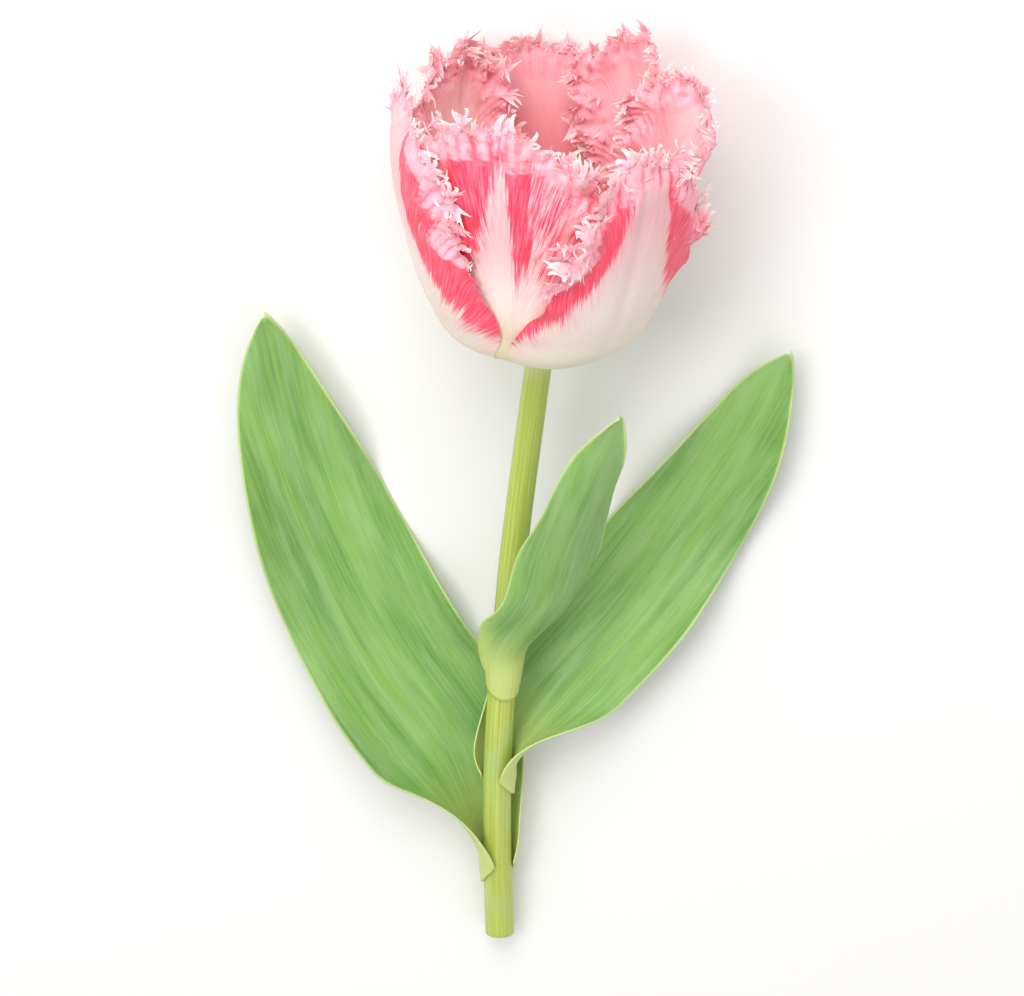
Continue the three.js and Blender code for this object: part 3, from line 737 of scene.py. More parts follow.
def fine_at_ends(count):
    """Values from -1 to 1, closer together towards both ends."""
    s = np.linspace(-1, 1, count + 1)
    return np.sign(s) * (1 - (1 - np.abs(s)) ** 1.3)


def tepal_base(name, t):
    """The blade of one tepal, with loose points where its teeth stand, as an object for the fringe tree."""
    upper = 1 - (1 - np.linspace(0, 1, TEPAL_ROWS - SMOOTH_ROWS + 1)) ** 1.2
    lower = np.linspace(0, SMOOTH_SHARE, SMOOTH_ROWS, endpoint=False)
    upwards = np.r_[lower, SMOOTH_SHARE + (1 - SMOOTH_SHARE) * upper]
    u, v = np.meshgrid(upwards, fine_at_ends(TEPAL_COLUMNS), indexing="ij")
    points = tepal_points(t, u, v)
    thick = TEPAL_THICKNESS * (0.3 + 0.7 * smooth(np.minimum(*to_margin(t, u, v)), 0, 6))
    vertices, faces, normals, sharp = shell(points, thick)
    draw = np.random.default_rng(t.seed)
    on_rim = rim_roots(points, normals, int(np.argmax(upwards > t.fringe)), draw)
    teeth = make_teeth(t, u, v, on_rim + face_roots(t, u, v, points, normals, draw), len(on_rim), draw)
    count = len(teeth.places)
    mesh = new_mesh(name, np.concatenate([in_row(vertices), in_row(lifted(teeth.places, NEAR_TABLE))]), faces)
    crease_edges(mesh, sharp)
    outer, inner = tepal_looks(t, u, v, 0), tepal_looks(t, u, v, 1)
    # middle is painted shade along the midrib, towards the tip
    middle = t.groove * np.exp(-((v / 0.035) ** 2)) * smooth(u, 0.7, 0.95)
    wave, stand_out = pleats(t, u, v)
    # the last mark is low in the creases of the pleats, where the material paints shade
    marks = np.stack([np.full_like(u, t.warm), middle, 1 - (1 - wave) * stand_out], -1).reshape(-1, 3)
    none, zeros = np.zeros((len(vertices), 3)), np.zeros(len(vertices))
    write_attributes(
        mesh,
        petal=np.concatenate([outer[0], inner[0], teeth.petal]),
        tint=np.concatenate([outer[1], inner[1], teeth.tint]),
        marks=np.concatenate([marks, marks, np.tile([t.warm, 0, 1], (count, 1))]),
        outwards=np.concatenate([none, turned(teeth.outwards)]),
        front=np.concatenate([none, turned(teeth.front)]),
        size=np.concatenate([none, teeth.size * MM]),
        kind=np.r_[zeros, teeth.kind],
        root=np.r_[zeros, np.ones(count)],
    )
    return new_object(name, mesh)


# ---- the fringe's teeth ----

def add_spine(shape, path, widths):
    """Adds a flat tapering tongue with two sharp margins along a path to a tooth, ending in a point."""
    path = np.array(path, float)
    side = np.array([1.0, 0, 0])
    start = len(shape.points)
    for p, t, w in zip(path[:-1], unit(np.gradient(path, axis=0)), widths):
        next_side = np.cross((0, 1, 0), t)
        if np.linalg.norm(next_side) > 0.15:
            next_side = unit(next_side)
            side = next_side * (1 if next_side @ side >= 0 else -1)
        face = np.cross(t, side) * w * TOOTH_DEPTH
        for corner, paler in ((side * w, 0.25), (face, 0), (-side * w, 0.25), (-face, 0)):
            shape.points.append(p + corner)
            shape.tips.append(min(1, abs(p[2]) + abs(p[0]) * 0.5 + abs(p[1]) * 0.5 + paler * max(0, p[2])))
    end = start + 4 * (len(path) - 1)
    shape.points.append(path[-1])
    shape.tips.append(1)
    shape.faces.append([start + 3, start + 2, start + 1, start])
    for ring in range(start, end - 4, 4):
        for k in range(4):
            a, b = ring + k, ring + (k + 1) % 4
            shape.faces.append([a, b, b + 4, a + 4])
        shape.sharp += [[ring, ring + 4], [ring + 2, ring + 6]]
    shape.sharp += [[end - 4, end], [end - 2, end]]
    shape.faces += [[end - 4 + k, end - 4 + (k + 1) % 4, end] for k in range(4)]


def arc(turn_side, turn_face, sway=0.0, start=(0, 0, -0.12), length=1.12, count=8):
    """A path that leaves along z and turns to the side or to its face on the way, in degrees."""
    points = [np.array(start, float)]
    step = length / (count - 1)
    for k in range(1, count):
        share = (k / (count - 1)) ** 1.3
        a, b = math.radians(turn_side * share + sway * math.sin(6 * share)), math.radians(turn_face * share)
        points.append(points[-1] + step * np.array([math.sin(a), math.sin(b), math.cos(a) * math.cos(b)]))
    return points


# Half-widths of the tongues from foot to point
FLAME = [0.4, 0.42, 0.37, 0.29, 0.21, 0.13, 0.065]
BROAD = [0.46, 0.38, 0.3, 0.22, 0.15, 0.09, 0.045]
SLIM = [0.3, 0.26, 0.21, 0.16, 0.12, 0.08, 0.045]
THREAD = [0.2, 0.14, 0.1, 0.085, 0.07, 0.06, 0.045]

# The kinds of teeth, one unit long, each with the tongues that it is made of
TEETH = {
    "thorn": [(arc(8, 6), BROAD)],
    "flame": [(arc(20, 28, 22), FLAME)],
    "flame_left": [(arc(-44, 20, 16), FLAME)],
    "flame_right": [(arc(48, -24, -16), FLAME)],
    "sickle_left": [(arc(-84, 16), BROAD)],
    "sickle_right": [(arc(88, -18), BROAD)],
    "thorn_inward": [(arc(10, -75), FLAME)],
    "hook_right": [(arc(125, 10), SLIM)],
    "hook_left": [(arc(-120, 20), SLIM)],
    "curl_in": [(arc(20, -150), SLIM)],
    "curl_out": [(arc(-20, 110), SLIM)],
    "wave": [(arc(30, 25, 35), THREAD)],
    "thread": [(arc(-70, -30, 10, length=1.3), THREAD)],
    "fork": [(arc(-28, 0), FLAME), (arc(60, 20, 0, (0.05, 0, 0.22), 0.6), SLIM)],
    "antler": [(arc(45, -20), BROAD), (arc(-70, 30, 0, (-0.03, 0, 0.2), 0.62), SLIM)],
    "comb": [
        (arc(6, 0), BROAD),
        (arc(26, 10, 0, (0.34, 0, -0.05), 0.75), SLIM),
        (arc(-20, -10, 0, (-0.34, 0, -0.05), 0.66), SLIM),
    ],
}

# Teeth that bend more and more from the left to the right, and the odd ones among them
BENDS = [
    "hook_left", "sickle_left", "flame_left", "thorn", "flame", "flame_right", "sickle_right", "hook_right",
]
ODD_TEETH = ["antler", "comb", "curl_in", "curl_out", "fork", "thorn_inward", "thread", "wave"]


def teeth_collection():
    """A collection with one object for each kind of tooth."""
    teeth = bpy.data.collections.new("fringe_teeth")
    bpy.context.scene.collection.children.link(teeth)
    for kind, tongues in TEETH.items():
        shape = SimpleNamespace(points=[], tips=[], faces=[], sharp=[])
        for path, widths in tongues:
            add_spine(shape, path, widths)
        mesh = new_mesh(kind, shape.points, shape.faces)
        crease_edges(mesh, shape.sharp)
        write_attributes(mesh, tip=shape.tips)
        teeth.objects.link(bpy.data.objects.new(kind, mesh))
    return teeth


def remove_collection(collection):
    """Removes the pattern objects once they are in the finished meshes."""
    for item in list(collection.objects):
        bpy.data.objects.remove(item)
    bpy.data.collections.remove(collection)


def fringe_tree():
    """Stands a tooth on every root point of a blade, of the kind and size that the point holds."""
    nodes, geometry, kinds, size, seed, material = geometry_group(
        "Fringe", Teeth="Collection", Size=1.0, Seed=7, Material="Material",
    )
    roots, blade = nodes.get_all("GeometryNodeSeparateGeometry", {
        "Geometry": geometry, "Selection": nodes.field("root", "FLOAT"),
    })
    teeth = nodes.get("GeometryNodeCollectionInfo", {
        "Collection": kinds, "Separate Children": True, "Reset Children": True,
    })
    factor = nodes.random(seed, *TOOTH_STRETCH) * size
    scale = nodes.get("ShaderNodeVectorMath", {0: nodes.field("size"), "Scale": factor}, operation="SCALE")
    placed = nodes.get("GeometryNodeInstanceOnPoints", {
        "Points": nodes.get("GeometryNodeMeshToPoints", {"Mesh": roots}),
        "Instance": teeth, "Pick Instance": True, "Instance Index": nodes.field("kind", "FLOAT"),
        "Rotation": nodes.turn("Y"), "Scale": scale,
    })
    joined = nodes.add("GeometryNodeJoinGeometry", {0: placed})
    nodes.feed(joined.inputs[0], blade)
    real = nodes.get("GeometryNodeRealizeInstances", {"Geometry": Term(nodes, joined.outputs[0])})
    # teeth that would reach into the table are pressed on it
    x, y, z = nodes.split(nodes.get("GeometryNodeInputPosition"))
    above = nodes.math("MAXIMUM", z, nodes.math("MULTIPLY_ADD", z, PRESSED, NEAR_TABLE * (1 - PRESSED) * MM))
    place = nodes.get("ShaderNodeCombineXYZ", {"X": x, "Y": y, "Z": above})
    return nodes.finish(nodes.get("GeometryNodeSetPosition", {"Geometry": real, "Position": place}), material)


# ---- stem, leaves, pistil and stamens ----

def centripetal(points, count):
    """A centripetal Catmull-Rom curve with its ends continued straight, at evenly spaced parameters."""
    p = [np.array(q, float) for q in points]
    p = [2 * p[0] - p[1], *p, 2 * p[-1] - p[-2]]
    curve = []
    for t in np.linspace(0, len(p) - 3, count):
        i = min(int(t), len(p) - 4)
        w = t - i
        x0, x1, x2, x3 = p[i:i + 4]
        d0, d1, d2 = (max(np.sum((b - a) ** 2) ** 0.25, 1e-4) for a, b in ((x0, x1), (x1, x2), (x2, x3)))
        t1 = ((x1 - x0) / d0 - (x2 - x0) / (d0 + d1) + (x2 - x1) / d1) * d1
        t2 = ((x2 - x1) / d1 - (x3 - x1) / (d1 + d2) + (x3 - x2) / d2) * d1
        curve.append(x1 + t1 * w + (3 * (x2 - x1) - 2 * t1 - t2) * w**2 + (2 * (x1 - x2) + t1 + t2) * w**3)
    return np.array(curve)


STEM_LENGTH = (AXIS_HEIGHT - STEM_END_RADIUS * math.cos(LEAN)) / math.sin(LEAN)
STEM_LINE = centripetal(
    [(STEM_SWAY * math.sin(t * math.pi * 0.7), 0, -STEM_LENGTH * t) for t in (0, 0.12, 0.35, 0.7, 1)], 801
)


def stem_at(below):
    """Where the stem's middle is at distances below the receptacle."""
    below = np.asarray(below, float)
    xs = np.interp(below, -STEM_LINE[:, 2], STEM_LINE[:, 0])
    return np.stack([xs, xs * 0, -below], -1)


def stem_radius_at(below):
    return STEM_TOP_RADIUS + (STEM_END_RADIUS - STEM_TOP_RADIUS) * below / STEM_LENGTH


def leaf_grid(leaf, u, v):
    """The middle surface of a leaf, its half-width and how far up its line each point is."""
    angle = math.radians(leaf.azimuth)
    outwards = np.array([math.sin(angle), -math.cos(angle), 0])
    seat = stem_radius_at(leaf.below) + SHEATH_GAP + LEAF_THICKNESS / 2
    sheath = [stem_at(leaf.below - t * SHEATH_LENGTH) + outwards * seat for t in (0, 0.5, 1)]
    line = centripetal([*sheath, *leaf.route], 2001)
    steps = lengths_along(line)
    along = np.minimum(u + SHEATH_RISE * v * v * (1 - u) ** 4, 1)
    at = along * steps[-1]
    middle = on_line(at, steps, line)
    forward = unit(on_line(at, steps, unit(np.gradient(line, steps, axis=0))))
    opening = smooth(along, 0.06, 0.3)
    curve = 1 / seat + (1 / leaf.channel - 1 / seat) * np.sqrt(opening)
    taper = LEAF_TIP + (1 - LEAF_TIP) * np.maximum(0, np.cos(math.pi / 2 * along**2.1)) ** 0.8
    half = (seat * SHEATH_WRAP + (leaf.half - seat * SHEATH_WRAP) * opening) * taper
    share = smooth(along, 0.12, 0.5)[..., None]
    face = -outwards * (1 - share) + unit(np.array(leaf.faces, float)) * share
    face = unit(face - forward * np.sum(face * forward, -1, keepdims=True))
    turn = v * half * curve
    waves = np.sin(along * WAVES_ALONG_LEAF + by_side(v, 2, 0))
    wave = leaf.wave * opening * np.abs(v) ** 3 * waves
    wave = wave + opening * 0.35 * wander(v * half, at, 13, leaf.seed)
    keel = -0.45 * np.exp(-((v * half / 1.6) ** 2)) * opening
    points = middle + np.cross(forward, face) * (np.sin(turn) / curve)[..., None]
    points = points + face * ((1 - np.cos(turn)) / curve + wave + keel)[..., None]
    hugging = (1 - smooth(u, 0, 0.05))[..., None] * 0.5 / seat
    points = points + (middle - outwards * seat - points) * hugging
    return points, half, at


def build_leaf(name, leaf, thickness):
    """One leaf: a thin wall that clasps the stem and opens into a channelled, wavy blade."""
    u, v = np.meshgrid(np.linspace(0, 1, LEAF_ROWS + 1), np.linspace(-1, 1, LEAF_COLUMNS + 1), indexing="ij")
    points, half, at = leaf_grid(leaf, u, v)
    wall = thickness * (0.35 + 0.65 * (1 - np.abs(v) ** 6) * smooth(1 - u, 0, 0.06))
    vertices, faces, _, _ = shell(lifted(points, LEAF_THICKNESS / 2), wall)
    mesh = new_mesh(name, in_row(lifted(vertices, 0.02)), faces)
    blade = np.stack([v * half, at + leaf.seed * 300, u * 0], -1).reshape(-1, 3)
    ends = np.stack([u, (1 - np.abs(v)) * half, u * 0], -1).reshape(-1, 3)
    write_attributes(mesh, blade=np.tile(blade, (2, 1)), ends=np.tile(ends, (2, 1)))
    return mesh


def stem_tree():
    """Sweeps a round section along the stem's middle line, with the radius that each point holds."""
    nodes, geometry, sides, material = geometry_group("Stem", Sides=40, Material="Material")
    line = nodes.get("GeometryNodeMeshToCurve", {"Mesh": geometry})
    section = nodes.get("GeometryNodeCurvePrimitiveCircle", {"Resolution": sides, "Radius": 1.0})
    radius = nodes.field("thickness", "FLOAT")
    return nodes.finish(nodes.get("GeometryNodeCurveToMesh", {
        "Curve": line, "Profile Curve": section, "Fill Caps": True, "Scale": radius,
    }), material)


def stem_profile():
    """The stem's middle line from the receptacle's top to the cut, with its radius."""
    below = np.r_[
        -RECEPTACLE_TOP, np.linspace(-RECEPTACLE_TOP + 0.05, -RECEPTACLE_TOP + 0.7, 6), -3, 0,
        np.linspace(0.6, 8, 14), np.linspace(9, STEM_LENGTH - 0.4, 150), STEM_LENGTH,
    ]
    radius = stem_radius_at(np.maximum(below, 0))
    flare = (RECEPTACLE_RADIUS - STEM_TOP_RADIUS) * (1 - smooth(below, -0.5, 5.5))
    rounded = 1 - 0.25 * (1 - smooth(below, -RECEPTACLE_TOP - 0.2, -RECEPTACLE_TOP + 0.8))
    radius = (radius + flare) * rounded
    radius = radius * (1 + 0.012 * wander_line(below, 25, 4))
    radius[-1] = radius[-1] - 0.25
    points = stem_at(np.maximum(below, 0))
    points[:, 2] = -below
    points[below <= 0, 0] = 0
    return points, radius


def build_stem(material):
    """The stem with the receptacle, swept along its line and cut off at a slant."""
    points, radius = stem_profile()
    mesh = new_mesh("stem_line", in_row(points), edges=[(i, i + 1) for i in range(len(points) - 1)])
    write_attributes(mesh, thickness=radius * MM)
    swept = plain_mesh(new_object("stem_line", mesh), stem_tree(), Material=material)
    local = (np.array([v.co for v in swept.vertices]) - ORIGIN) / MM
    own = np.stack([local @ RIGHT, -(local @ FRONT), local @ AXIS], -1)
    below = -own[:, 2]
    radius = stem_radius_at(np.maximum(below, 0))
    around = own - stem_at(np.maximum(below, 0))
    end = smooth(below, STEM_LENGTH - 12, STEM_LENGTH - 0.6)
    own[:, 2] += end * math.tan(CUT_SLANT) * (radius - around[:, 1])
    swept.vertices.foreach_set("co", in_row(own).ravel())
    angle = np.arctan2(around[:, 1], around[:, 0])
    rim = np.linalg.norm(around[:, :2], axis=1) / radius
    write_attributes(swept, blade=np.stack([angle * 4, below, rim], -1))
    return swept


def revolved(knots, count, sides, lobes):
    """A turned solid on the plant's axis through knots of radius and height, with its lobes standing out."""
    profile = catmull_rom(knots, count)
    rings = profile[1:-1]
    angle = np.linspace(0, 2 * math.pi, sides, endpoint=False)
    r, a = np.meshgrid(np.maximum(rings[:, 0], 0), angle, indexing="ij")
    h = np.repeat(rings[:, 1:], sides, axis=1)
    out = lobes(r, a, h)
    points = np.stack([out * np.cos(a), out * np.sin(a), h], -1).reshape(-1, 3)
    points = np.concatenate([points, [[0, 0, profile[0, 1]], [0, 0, profile[-1, 1]]]])
    foot, top = len(points) - 2, len(points) - 1
    faces = []
    for ring in range(0, foot - sides, sides):
        for k in range(sides):
            p, q = ring + k, ring + (k + 1) % sides
            faces.append([p, q, q + sides, p + sides])
    last = foot - sides
    for k in range(sides):
        after = (k + 1) % sides
        faces += [[after, k, foot], [last + k, last + after, top]]
    return points, faces


def build_pistil():
    """The three-sided ovary with its three-lobed stigma."""
    h = PISTIL_HEIGHT
    shares = [
        (0, 0), (0.85, 0), (0.98, 0.08), (1, 0.3), (0.97, 0.6), (0.78, 0.76), (0.7, 0.83), (0.86, 0.88),
        (1.38, 0.925), (1.5, 0.95), (1.3, 0.985), (0.6, 0.995), (0, 0.97),
    ]

    def lobes(radius, angle, height):
        stand_out = 0.1 + 0.2 * smooth(height, h * 0.8, h * 0.93)
        seam = 0.05 * np.exp(-((np.sin(1.5 * angle) / 0.16) ** 2)) * (1 - smooth(height, h * 0.7, h * 0.8))
        frill = 0.05 * np.sin(9 * angle) * smooth(height, h * 0.88, h * 0.95)
        return radius * (1 + stand_out * np.cos(3 * angle) - seam + frill)

    points, faces = revolved(np.array(shares) * (PISTIL_RADIUS, h), 70, 48, lobes)
    points[:, 2] += RECEPTACLE_TOP + SEAT_GAP
    mesh = new_mesh("pistil", in_row(points), faces)
    x, y, z = points.T
    write_attributes(mesh, blade=np.stack([np.arctan2(y, x) * 3, z, (z - RECEPTACLE_TOP) / h], -1))
    return mesh


def stamen_pattern():
    """One stamen standing on zero: a round filament and a long anther with four grooves."""
    h = FILAMENT_LENGTH
    top = h + ANTHER_LENGTH
    knots = [
        (0, 0), (0.6, 0), (0.62, 2), (0.5, h * 0.7), (0.38, h), (0.8, h + 0.5), (1.2, h + 1.3), (1.3, h + 5),
        (1.28, top - 4), (1.05, top - 1.6), (0.5, top - 0.4), (0, top),
    ]

    def lobes(radius, angle, height):
        return radius * (1 - 0.16 * smooth(height, h, h + 1.5) * (1 + np.cos(4 * angle)) / 2)

    points, faces = revolved(knots, 44, 16, lobes)
    mesh = new_mesh("stamen_pattern", points * MM, faces)
    x, _, z = points.T
    write_attributes(mesh, blade=np.stack([x, z, smooth(z, h - 0.2, h + 1)], -1))
    return mesh


def ring_tree():
    """Repeats a stamen round the pistil, leaning outwards."""
    nodes, geometry, stamen, seed, material = geometry_group(
        "Stamens", Stamen="Object", Seed=5, Material="Material",
    )
    return nodes.finish(nodes.get("GeometryNodeInstanceOnPoints", {
        "Points": nodes.get("GeometryNodeMeshToPoints", {"Mesh": geometry}),
        "Instance": nodes.get("GeometryNodeObjectInfo", {"Object": stamen}, "Geometry"),
        "Rotation": nodes.turn("X"),
        "Scale": nodes.random(seed, *STAMEN_STRETCH),
    }), material)


def build_stamens(material):
    """All six stamens as one mesh."""
    angle = (np.arange(STAMEN_COUNT) + 0.5) * 2 * math.pi / STAMEN_COUNT
    radial = np.stack([np.cos(angle), np.sin(angle), angle * 0], -1)
    upwards = np.array([0, 0, 1.0])
    places = radial * STAMEN_CIRCLE + upwards * (RECEPTACLE_TOP + SEAT_GAP)
    mesh = new_mesh("stamen_places", in_row(places))
    leaning = radial * math.sin(STAMEN_LEAN) + upwards * math.cos(STAMEN_LEAN)
    write_attributes(mesh, outwards=turned(leaning), front=turned(radial))
    pattern = new_object("stamen_pattern", stamen_pattern())
    made = plain_mesh(new_object("stamen_places", mesh), ring_tree(), Stamen=pattern, Material=material)
    bpy.data.objects.remove(pattern)
    return made


# ---- materials ----

def streaks_group():
    """Fine lengthwise streaks for anything that grew: petals, leaves and stem."""
    name = "Lengthwise Streaks"
    if name in bpy.data.node_groups:
        return bpy.data.node_groups[name]
    nodes, place, across, along, roughness = node_group(name, "ShaderNodeTree", {
        "Place": "Vector", "Per mm Across": 3.0, "Per mm Along": 0.12, "Roughness": 0.6,
    }, "Streaks", "Float")
    x, y, _ = nodes.split(place)
    spot = nodes.get("ShaderNodeCombineXYZ", {0: x * across, 1: y * along})
    inputs = {"Vector": spot, "Scale": 1.0, "Detail": 3.0, "Roughness": roughness}
    fine = nodes.get("ShaderNodeTexNoise", inputs)
    spread = nodes.get("ShaderNodeMapRange", {0: fine, 1: 0.25, 2: 0.75, 3: 0.0, 4: 1.0})
    nodes.add("NodeGroupOutput", {"Streaks": spread})
    return nodes.tree


class Shades(Nodes):
    """The nodes of a new material, with its colours by name."""

    def __init__(self, name, colours):
        self.colours = colours
        self.material = bpy.data.materials.new(name)
        self.material.use_nodes = True
        super().__init__(self.material.node_tree)

    def attribute(self, name, output="Vector"):
        return self.get("ShaderNodeAttribute", output=output, attribute_name=name)

    def place(self):
        return self.get("ShaderNodeTexCoord", output="Object")

    def streaks(self, place, across, along):
        inputs = {"Place": place, "Per mm Across": across, "Per mm Along": along}
        return self.get("ShaderNodeGroup", inputs, node_tree=streaks_group())

    def noise(self, place, scale, detail):
        return self.get("ShaderNodeTexNoise", {"Vector": place, "Scale": scale, "Detail": detail})

    def mix(self, share, a, b):
        """Goes from a to b, both terms or names of colours, while the share goes from 0 to 1."""
        a, b = ((*self.colours[colour], 1) if isinstance(colour, str) else colour for colour in (a, b))
        return self.get("ShaderNodeMix", {0: share, 6: a, 7: b}, 2, data_type="RGBA")

    def bump(self, height, strength, distance):
        return self.get("ShaderNodeBump", {"Height": height, "Strength": strength, "Distance": distance})

    def paint(self, colour, roughness, **inputs):
        """Feeds the surface. The words in the names of its other inputs are joined by underscores."""
        surface = self.tree.nodes["Principled BSDF"].inputs
        for name, value in {"Base_Color": colour, "Roughness": roughness, **inputs}.items():
            self.feed(surface[name.replace("_", " ")], value)
        return self.material


def petal_material(colours):
    """White flame and cream foot, red flanks that break into streaks, light fringe and pink inner face."""
    s = Shades("petal", colours)
    petal = s.attribute("petal")
    _, along, inner = s.split(petal)
    field, depth, pale = s.split(s.attribute("tint"))
    # middle is painted shade along the midrib; crest, low in the pleats' creases, paints shade there
    warm, middle, crest = s.split(s.attribute("marks"))
    broad, wide, fine = s.streaks(petal, 0.3, 0.04), s.streaks(petal, 1.3, 0.09), s.streaks(petal, 3.6, 0.14)
    mixed = wide * 0.42 + fine * 0.58
    # the red: past its border, and where the streaks are dense enough
    edge = field + (mixed * 17.0 + broad * 7.0 - 11.5)
    faded = broad.ramp(0.6, 0.95) * 0.5
    dense = mixed + (depth - faded) - 1.0
    red = edge.ramp(-4.5, 5.5) * dense.ramp(-0.34, 0.26)
    foot = s.mix(warm, "cream", "warm")
    body = s.mix(along.ramp(16, 50), foot, "white")
    body = s.mix(along.ramp(42, 70) * mixed.ramp(0.0, 0.8, 0.6, 1.0), body, "blush")
    body = s.mix(fine.ramp(0.35, 0.9) * edge.ramp(-16, 0, 0.0, 0.6), body, "pink")
    body = s.mix(red.ramp(0.0, 0.6), body, "pink")
    body = s.mix(red.ramp(0.3, 0.95) * mixed.ramp(0.2, 0.66, 0.2, 1.0), body, "red")
    # the inner face, with painted shade deep in the cup
    inside = s.mix(along.ramp(20, 46), "inner_foot", "inner_pale")
    rose = along.ramp(28, 52) * (depth * along.ramp(60, 80, 1.0, 0.35))
    inside = s.mix(rose * mixed.ramp(0, 1, 0.7, 1.0), inside, "salmon")
    # painted shade: a darker salmon band deep in the cup
    low = along.ramp(30, 44) * along.ramp(64, 46) * depth
    inside = s.mix(low * 0.6, inside, "salmon_cup_shade")
    inside = s.mix(field.ramp(4, 22) * 0.55 * mixed.ramp(0.3, 0.75), inside, "pink")
    body = s.mix(inner, body, inside)
    # painted shade along the midrib's groove
    body = s.mix(middle * 0.5, body, "groove")
    # the light pleated rim and the teeth
    # painted shade: deeper pink in the creases of the pleats; painted light: lighter on their crests
    pleat_shading_and_streaks = crest * 0.8 + mixed * 0.5
    rim = s.mix(pleat_shading_and_streaks.ramp(0.5, 1.1), "blotch_and_crease_shade", "light")
    rim = s.mix(fine.ramp(0.3, 0.9, 0.0, 0.5), rim, "pink")
    # the crests widen the light rim too, as painted light
    patchy = mixed * 0.75 + (s.noise(petal, 0.6, 3.0) * 1.3 + crest * 0.4)
    lit = pale + (patchy - 1.27)
    body = s.mix(lit.ramp(0.2, 0.75, 0.0, 0.94) * pale.ramp(0.03, 0.25), body, rim)
    tip = s.attribute("tip", "Fac")
    body = s.mix(tip.ramp(0.0, 0.3, 0.0, 0.5), body, "light")
    body = s.mix(tip.ramp(0.25, 1.0) * pale.ramp(0, 0.6, 0.6, 0.95), body, "fringe_colour")
    return s.paint(
        body, fine.ramp(0, 1, 0.5, 0.64), Sheen_Weight=0.08, Specular_IOR_Level=0.28,
        Normal=s.bump(fine + wide * 0.8, 0.3, 0.0003),
    )


def leaf_material(colours):
    """Waxy green with parallel veins, a bluish bloom in patches, pale margins and a light foot."""
    s = Shades("leaf", colours)
    blade = s.attribute("blade")
    end, margin, _ = s.split(s.attribute("ends"))
    veins, fine = s.streaks(blade, 1.6, 0.02), s.streaks(blade, 5.0, 0.05)
    patches = s.streaks(blade, 0.12, 0.012)
    body = s.mix(patches.ramp(0.2, 0.85), "leaf", "leaf_deep")
    body = s.mix(veins.ramp(0.3, 0.9, 0.0, 0.35), body, "leaf_light")
    body = s.mix(fine.ramp(0.4, 1.0, 0.0, 0.2), body, "leaf_deep")
    bloom = s.streaks(blade, 0.3, 0.03).ramp(0.2, 0.9, 0.05, 0.4)
    body = s.mix(bloom, body, "wax")
    body = s.mix(end.ramp(0.24, 0.02), body, "foot")
    body = s.mix(margin.ramp(0.9, 0.1, 0.0, 0.7), body, "margin")
    return s.paint(
        body, bloom.ramp(0, 0.5, 0.36, 0.52), Specular_IOR_Level=0.45,
        Subsurface_Weight=0.08, Subsurface_Radius=(0.5, 1.0, 0.3), Subsurface_Scale=0.001,
        Normal=s.bump(veins + fine * 0.5, 0.35, 0.0004),
    )


def stem_material(colours):
    """Smooth yellow-green with faint lengthwise ribs, and a moist pale cut."""
    s = Shades("stem", colours)
    blade = s.attribute("blade")
    _, below, rim = s.split(blade)
    ribs, fine = s.streaks(blade, 1.4, 0.015), s.streaks(blade, 5.0, 0.06)
    body = s.mix(ribs.ramp(0.2, 0.9), "stem", "stem_light")
    body = s.mix(fine.ramp(0.55, 1.0, 0.0, 0.3), body, "stem_deep")
    body = s.mix(s.noise(blade, 0.05, 3).ramp(0.45, 0.7, 0.0, 0.35), body, "wax")
    body = s.mix(below.ramp(12, -3, 0.0, 0.55), body, "cream")
    cut = s.mix(rim.ramp(0.55, 0.92), "pith", "stem")
    body = s.mix(rim.ramp(0.97, 0.9) * below.ramp(100, 101), body, cut)
    return s.paint(
        body, fine.ramp(0, 1, 0.36, 0.5),
        Subsurface_Weight=0.15, Subsurface_Radius=(0.7, 1.0, 0.3), Subsurface_Scale=0.0015,
        Normal=s.bump(ribs + fine * 0.4, 0.3, 0.0003),
    )


def pistil_material(colours):
    """Green ovary and a creamy stigma with a grainy top."""
    s = Shades("pistil", colours)
    blade = s.attribute("blade")
    _, _, height = s.split(blade)
    body = s.mix(s.streaks(blade, 2.0, 0.1).ramp(0.2, 0.9), "ovary", "stem_light")
    body = s.mix(height.ramp(0.78, 0.95), body, "stigma")
    grain = s.noise(s.place(), 1800, 2) * height.ramp(0.85, 0.95, 0.1, 1.0)
    return s.paint(
        body, height.ramp(0.8, 0.95, 0.38, 0.75), Subsurface_Weight=0.2, Subsurface_Scale=0.0015,
        Normal=s.bump(grain, 0.5, 0.0003),
    )


def stamen_material(colours):
    """Cream filaments under powdery yellow anthers."""
    s = Shades("stamen", colours)
    _, _, anther = s.split(s.attribute("blade"))
    grain = s.noise(s.place(), 2600, 3)
    pollen = s.mix(grain.ramp(0.3, 0.7), "anther", "pollen")
    body = s.mix(anther, "filament", pollen)
    relief = s.bump(grain * anther.ramp(0, 1, 0.15, 1.0), 0.6, 0.0003)
    return s.paint(body, anther.ramp(0, 1, 0.45, 0.9), Normal=relief)


def floor_material(colour):
    """A pale matt surface with a trace of unevenness."""
    s = Shades("floor", {"light": colour, "shade": tuple(c * 0.92 for c in colour)})
    uneven = s.noise(s.place(), 3.0, 2).ramp(0.3, 0.7, 0.0, 0.04)
    return s.paint(s.mix(uneven, "light", "shade"), 0.7, Specular_IOR_Level=0.2)


# ---- what a user can change ----

def colour_property(name, description, *screen):
    return bpy.props.FloatVectorProperty(
        name=name, description=description, default=linear(*screen), size=3, min=0, max=1, subtype="COLOR",
    )


